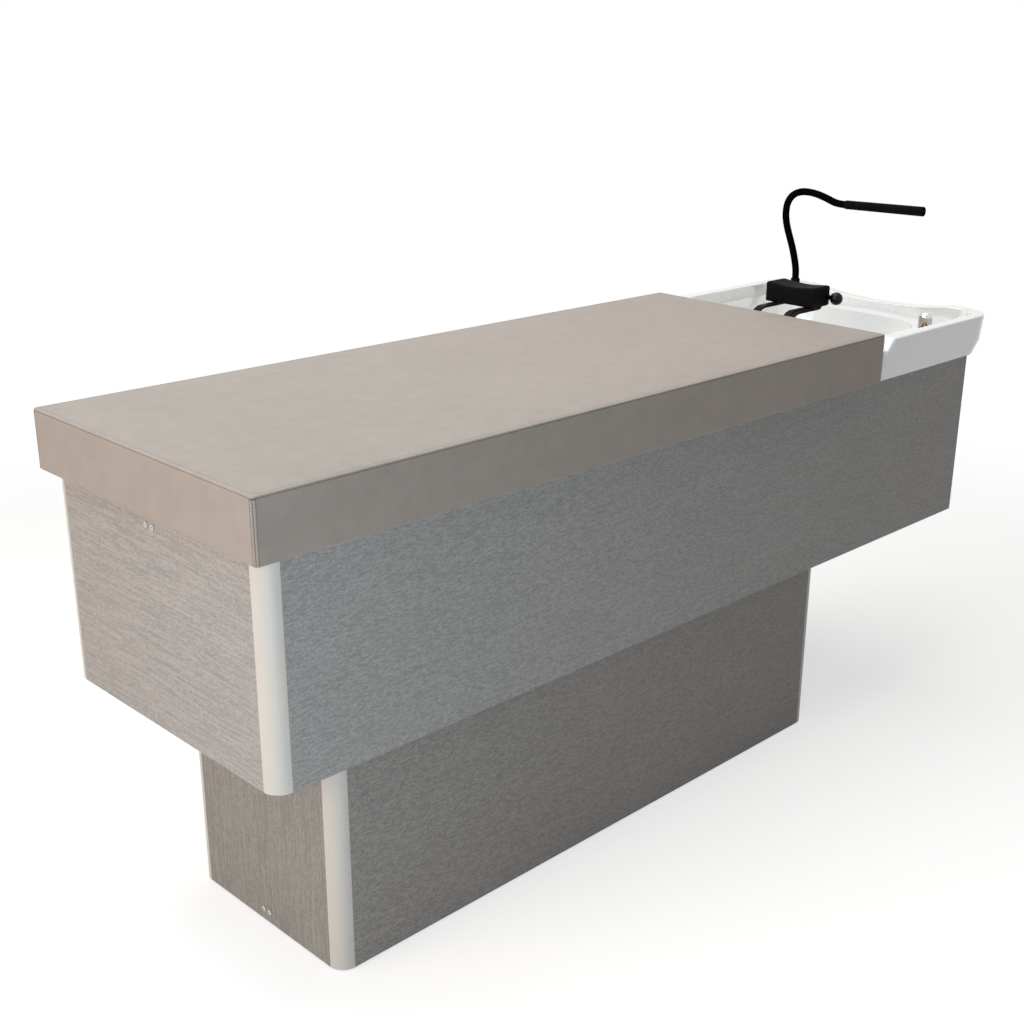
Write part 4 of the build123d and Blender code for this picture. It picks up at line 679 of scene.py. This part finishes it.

# %% [markdown]
# ## Seams and stitches
# The cover's top panel meets its side band in a seam just under the edge, with a row of stitches
# a few millimetres inside it, and both foot corners have an upright seam between two more rows.
# A bump pattern would vanish from the side, so every stitch is a small bead of thread, laid on
# the finished cover by casting a ray at it. The beads in the seam and along the foot corners wear
# seam_shadow, a near-black leatherette: painted shade of the ditch they lie in.

# %% threads on the cover
cover_tree = BVHTree.FromPolygons(
    [vertex.co.copy() for vertex in padded_top.data.vertices],
    [tuple(face.vertices) for face in padded_top.data.polygons],
)


def round_path(half_x, half_y, radius, pitch):
    """Even steps around a rounded rectangle: place and direction of each."""
    steps = []
    straight = (2 * (half_x - radius), 2 * (half_y - radius))
    for turn in range(4):
        run = straight[turn % 2]
        angle = turn * math.pi / 2
        ahead = Vector((math.cos(angle), math.sin(angle), 0))
        aside = Vector((math.sin(angle), -math.cos(angle), 0))
        out = (half_y, half_x)[turn % 2]
        start = aside * out - ahead * (run / 2)
        for index in range(max(1, round(run / pitch))):
            share = (index + 0.5) / max(1, round(run / pitch))
            steps.append((start + ahead * run * share, ahead))
        corner_middle = aside * (out - radius) + ahead * (run / 2)
        arc_steps = max(1, round(radius * math.pi / 2 / pitch))
        for index in range(arc_steps):
            bend = angle - math.pi / 2 + (index + 0.5) / arc_steps * math.pi / 2
            away = Vector((math.cos(bend), math.sin(bend), 0))
            steps.append((corner_middle + away * radius, Vector((-away.y, away.x, 0))))
    return steps


bead_rings = ((-0.5, 0.35), (-0.32, 1.0), (0.32, 1.0), (0.5, 0.35))
bead_spokes = 6
bead_quads = bead_spokes * (len(bead_rings) - 1) + 2


def bead(points, quads, middle, ahead, up, length, thick):
    """Add one stitch: a short thread with its ends pulled in."""
    side = ahead.cross(up).normalized()
    first = len(points)
    for along, girth in bead_rings:
        for spoke in range(bead_spokes):
            angle = spoke * 2 * math.pi / bead_spokes
            rim = side * math.cos(angle) + up * math.sin(angle)
            points.append(middle + ahead * (along * length) + rim * (girth * thick / 2))
    for ring in range(len(bead_rings) - 1):
        start = first + ring * bead_spokes
        for spoke in range(bead_spokes):
            here, there = start + spoke, start + (spoke + 1) % bead_spokes
            quads.append([here, there, there + bead_spokes, here + bead_spokes])
    last = first + bead_spokes * (len(bead_rings) - 1)
    quads.append([first + spoke for spoke in reversed(range(bead_spokes))])
    quads.append([last + spoke for spoke in range(bead_spokes)])


def sewn(name, points, quads, finish):
    made = mesh_object(name, points, quads, finish)
    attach(made, "upper")
    print(name, "stitches:", len(quads) // bead_quads)


def stitch_row(name, steps, cast, length, finish):
    """Lay a stitch at every step, where a ray meets the cover."""
    points, quads = [], []
    for place_on, ahead in steps:
        origin, direction = cast(place_on)
        hit, normal, _, _ = cover_tree.ray_cast(origin, direction)
        if hit is not None:
            level = (ahead - normal * ahead.dot(normal)).normalized()
            bead(points, quads, hit, level, normal, length, thread_thick)
    sewn(name, points, quads, finish)


def from_above(spot):
    """A ray down onto the cover from half a metre above its middle."""
    return top_middle + spot + Vector((0, 0, 0.5)), Vector((0, 0, -1))


def from_outside(spot):
    """A level ray from well outside the cover towards its nearest flank."""
    inner = Vector((
        max(clear - top_half.x, min(top_half.x - clear, spot.x)),
        max(clear - top_half.y, min(top_half.y - clear, spot.y)),
        0,
    ))
    away = (spot - inner).normalized()
    level = Vector((0, 0, ditch_z - top_middle.z))
    return top_middle + spot + away * ray_start + level, -away


clear, ray_start = 0.04, 0.1
row_inset = 0.0085
stitch_length, stitch_pitch, thread_thick = 0.0048, 0.0066, 0.0011
seam_length, seam_pitch = 0.0058, 0.0052
stitch_row(
    "top_stitches",
    round_path(top_half.x - row_inset, top_half.y - row_inset, cover_radii[0], stitch_pitch),
    from_above,
    stitch_length,
    finishes["seam"],
)
# The seam beads wear seam_shadow: painted shade of the ditch under the top edge.
stitch_row(
    "seam_thread",
    round_path(top_half.x, top_half.y, cover_radii[0], seam_pitch),
    from_outside,
    seam_length,
    finishes["ditch"],
)

# %% upright seams at the foot corners
def at_corner(side, offset, height):
    """Hit, normal and outward direction on a foot corner, offset along its rounding."""
    turn = math.pi - side * (math.pi / 4 + offset / cover_radii[0])
    away = Vector((math.cos(turn), math.sin(turn), 0))
    start = Vector((foot_corner_x, side * foot_corner_y, height)) + away * ray_start
    hit, normal, _, _ = cover_tree.ray_cast(start, -away)
    return hit, normal, away


seam_top, seam_foot = top_edge_z - 0.007, top_low.z + 0.004
corner_pitch, row_offset = 0.0056, 0.0056
corner_length, corner_thick = 0.0046, 0.0013
cap_pitch, cap_length, cap_thick = 0.0019, 0.0024, 0.0016
rows = round((seam_top - seam_foot) / corner_pitch)
beside_seam, on_seam = ([], []), ([], [])
for side in (-1, 1):
    for offset in (-row_offset, 0.0, row_offset):
        into, length = (beside_seam, corner_length) if offset else (on_seam, seam_length)
        for row in range(rows):
            height = seam_foot + (row + 0.5) * (seam_top - seam_foot) / rows
            hit, normal, _ = at_corner(side, offset, height)
            if hit is not None:
                bead(*into, hit, Vector((0, 0, 1)), normal, length, corner_thick)
for side in (-1, 1):
    for step in range(-3, 4):
        hit, normal, away = at_corner(side, step * cap_pitch, seam_top)
        if hit is not None:
            level = Vector((-away.y, away.x, 0))
            bead(*on_seam, hit, level, normal, cap_length, cap_thick)
# Both corner rows wear seam_shadow too: painted shade along the upright seams.
sewn("corner_stitches", *beside_seam, finishes["ditch"])
sewn("corner_threads", *on_seam, finishes["ditch"])

# %% [markdown]
# ## The headrest pad
# The headrest is a block of moulded black foam with a skin of its own, dipped a little where the
# neck lies. Two steel arms enter it and a rod crosses it. A Boolean could cut the slots that the
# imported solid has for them, but this pad is kept as quads and closed: the ends of the arms and
# the rod are simply inside it.

# %% the headrest pad
pad_low, pad_high = (Vector(corner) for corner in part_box("headrest_pad"))
pad_dip, pad_shoulder, pad_round = 0.005, 0.013, 0.006
still_share = 0.4
pad_points, pad_quads = rounded_block(
    pad_low, pad_high, (pad_round,) * 3, pad_round, (0, pad_round / 4, pad_round / 2, pad_round)
)
pad_half = (pad_high.y - pad_low.y) / 2 - pad_shoulder
for point in pad_points:
    share = min(1.0, abs(point.y) / pad_half)
    height = (point.z - pad_low.z) / (pad_high.z - pad_low.z)
    lift = max(0.0, height - still_share) / (1 - still_share)
    point.z -= pad_dip * lift * (1 - share**2)
neck_pad = smoothed(mesh_object("neck_pad", pad_points, pad_quads, finishes["black_cushion"]))
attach(neck_pad, "headrest")
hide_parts("headrest_pad")
print("neck pad:", len(neck_pad.data.polygons), "faces")

# %% [markdown]
# ## The gooseneck
# The hand shower hangs on a stiff flexible arm that stands by itself: a wound steel core in a
# smooth black sleeve. It follows the same points as the solid, and a NURBS curve drawn
# along them has no corners at all.

# %% the gooseneck
neck_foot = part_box("gooseneck_ferrule")
neck_x = (neck_foot[0][0] + neck_foot[1][0]) / 2
neck_y = (neck_foot[0][1] + neck_foot[1][1]) / 2
neck_z = neck_foot[1][2]
neck_diameter = 0.0204
neck_route = [
    (0, 0),
    (0, 0.022),
    (0.006, 0.048),
    (0.015, 0.078),
    (0.027, 0.108),
    (0.040, 0.138),
    (0.049, 0.167),
    (0.0505, 0.194),
    (0.045, 0.219),
    (0.028, 0.2395),
    (0.002, 0.2495),
    (-0.026, 0.251),
    (-0.056, 0.2475),
    (-0.088, 0.239),
    (-0.116, 0.2295),
    (-0.138, 0.227),
    (-0.155, 0.2274),
]
curve = bpy.data.curves.new("gooseneck_sleeve", "CURVE")
curve.dimensions = "3D"
curve.resolution_u = 10
curve.bevel_depth = neck_diameter / 2
curve.bevel_resolution = 6
spline = curve.splines.new("NURBS")
spline.points.add(len(neck_route) - 1)
for control, (across, up) in zip(spline.points, neck_route):
    control.co = (neck_x, neck_y + across, neck_z + up, 1.0)
spline.order_u = 3
spline.use_endpoint_u = True
curve.use_fill_caps = True
drawn = bpy.data.objects.new("gooseneck_drawn", curve)
bpy.context.scene.collection.objects.link(drawn)
seen = drawn.evaluated_get(bpy.context.evaluated_depsgraph_get())
sleeve_mesh = bpy.data.meshes.new_from_object(seen)
bpy.data.objects.remove(drawn)
sleeve_mesh.materials.clear()
sleeve_mesh.materials.append(finishes["black_hose"])
sleeve_mesh.polygons.foreach_set("use_smooth", [True] * len(sleeve_mesh.polygons))
sleeve = bpy.data.objects.new("gooseneck_sleeve", sleeve_mesh)
bpy.context.scene.collection.objects.link(sleeve)
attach(sleeve, "gooseneck")
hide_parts("gooseneck_hose")
print("gooseneck:", len(sleeve_mesh.polygons), "faces")

# %% [markdown]
# ## Floor and light
# The floor and the far background are white, the object keeps its soft shadow. A white floor is
# easy to get by flooding the scene with light, but that bleaches the object. Here the floor adds
# its own white for camera, mirror and glass rays alone, and the lamps stay at a plain level.

# %% the floor
white = colour(1, 1, 1)
floor_grey, floor_glow = 0.62, 0.64
shadow_reach, white_reach = 1.9, 3.6


def direct_rays(strand):
    """1 for camera, mirror and glass rays, and 0 for the rays that carry light about."""
    ray = strand.node("ShaderNodeLightPath").socket.node
    seen, mirrored, through = (
        Strand(strand.tree, ray.outputs["Is %s Ray" % kind])
        for kind in ("Camera", "Glossy", "Transmission")
    )
    return (seen + mirrored + through).between(0.0, 1.0)


def floor_finish():
    made = bpy.data.materials.new("studio_floor")
    made.use_nodes = True
    web = Strand(made.node_tree)
    made.node_tree.nodes.remove(made.node_tree.nodes["Principled BSDF"])
    direct = direct_rays(web)
    where = web.node("ShaderNodeTexCoord", output="Object")
    reach = web.node("ShaderNodeVectorMath", {"operation": "LENGTH"}, {0: where}, output=1)
    far = reach.between(shadow_reach, white_reach)
    lit = web.node("ShaderNodeBsdfDiffuse", {}, {"Color": colour(*(floor_grey,) * 3)})
    glow = web.node(
        "ShaderNodeEmission", {}, {"Color": white, "Strength": direct * floor_glow}
    )
    near = web.node("ShaderNodeAddShader", {}, {0: lit, 1: glow})
    plain = web.node("ShaderNodeEmission", {}, {"Color": white, "Strength": 1.0})
    both = web.node("ShaderNodeMixShader", {}, {0: far * direct, 1: near, 2: plain})
    end = made.node_tree.nodes["Material Output"]
    made.node_tree.links.new(both.socket, end.inputs["Surface"])
    return made


floor_mesh = bpy.data.meshes.new("studio_floor")
floor_half = 60.0
signs = ((-1, -1), (1, -1), (1, 1), (-1, 1))
corners = [(across * floor_half, up * floor_half, 0) for across, up in signs]
floor_mesh.from_pydata(corners, [], [(0, 1, 2, 3)])
floor_mesh.materials.append(floor_finish())
studio_floor = bpy.data.objects.new("studio_floor", floor_mesh)
bpy.context.scene.collection.objects.link(studio_floor)
print("floor:", 2 * floor_half, "m square")

# %% [markdown]
# ## Lamps
# Four soft lamps: a warm one beyond the foot end, a broad one overhead with a small cool one
# beside it, and a low cool one close to the foot corner, because in the photograph the long side
# darkens towards the basin and towards the floor. A ring of lamps would light that side evenly.
# The world fills the shadows, and shows as white only to camera and mirror rays.

# %% the lamps
def lamp(name, at, towards, size, power, shade):
    data = bpy.data.lights.new(name, "AREA")
    data.shape = "RECTANGLE"
    data.size, data.size_y = size
    data.energy = power
    data.color = shade
    made = bpy.data.objects.new(name, data)
    made.location = at
    made.rotation_euler = (Vector(towards) - Vector(at)).to_track_quat("-Z", "Y").to_euler()
    bpy.context.scene.collection.objects.link(made)
    return made


lamp("foot_lamp", (-4.6, 0.6, 2.2), (-0.6, 0, 0.75), (3.2, 2.6), 84, (1.0, 0.74, 0.545))
lamp("top_lamp", (-0.1, 0.4, 4.2), (0, 0, 0.8), (4.2, 3.4), 97, (1.0, 0.973, 0.893))
lamp("slant_lamp", (-2.2, 0.6, 3.6), (-0.6, 0, 0.8), (2.4, 2.4), 25, (0.3, 0.7, 1.0))
lamp("side_lamp", (-2.3, -1.7, 0.9), (-0.6, -0.3, 0.6), (1.0, 1.4), 15.8, (0.765, 0.917, 1.0))

world = bpy.data.worlds.new("studio_world")
bpy.context.scene.world = world
world.use_nodes = True
background = world.node_tree.nodes["Background"]
background.inputs["Color"].default_value = white
fill_level = 0.11
strength = direct_rays(Strand(world.node_tree)) * (1.0 - fill_level) + fill_level
world.node_tree.links.new(strength.socket, background.inputs["Strength"])
bpy.context.scene.view_settings.view_transform = "Standard"
print("lamps and world ready")
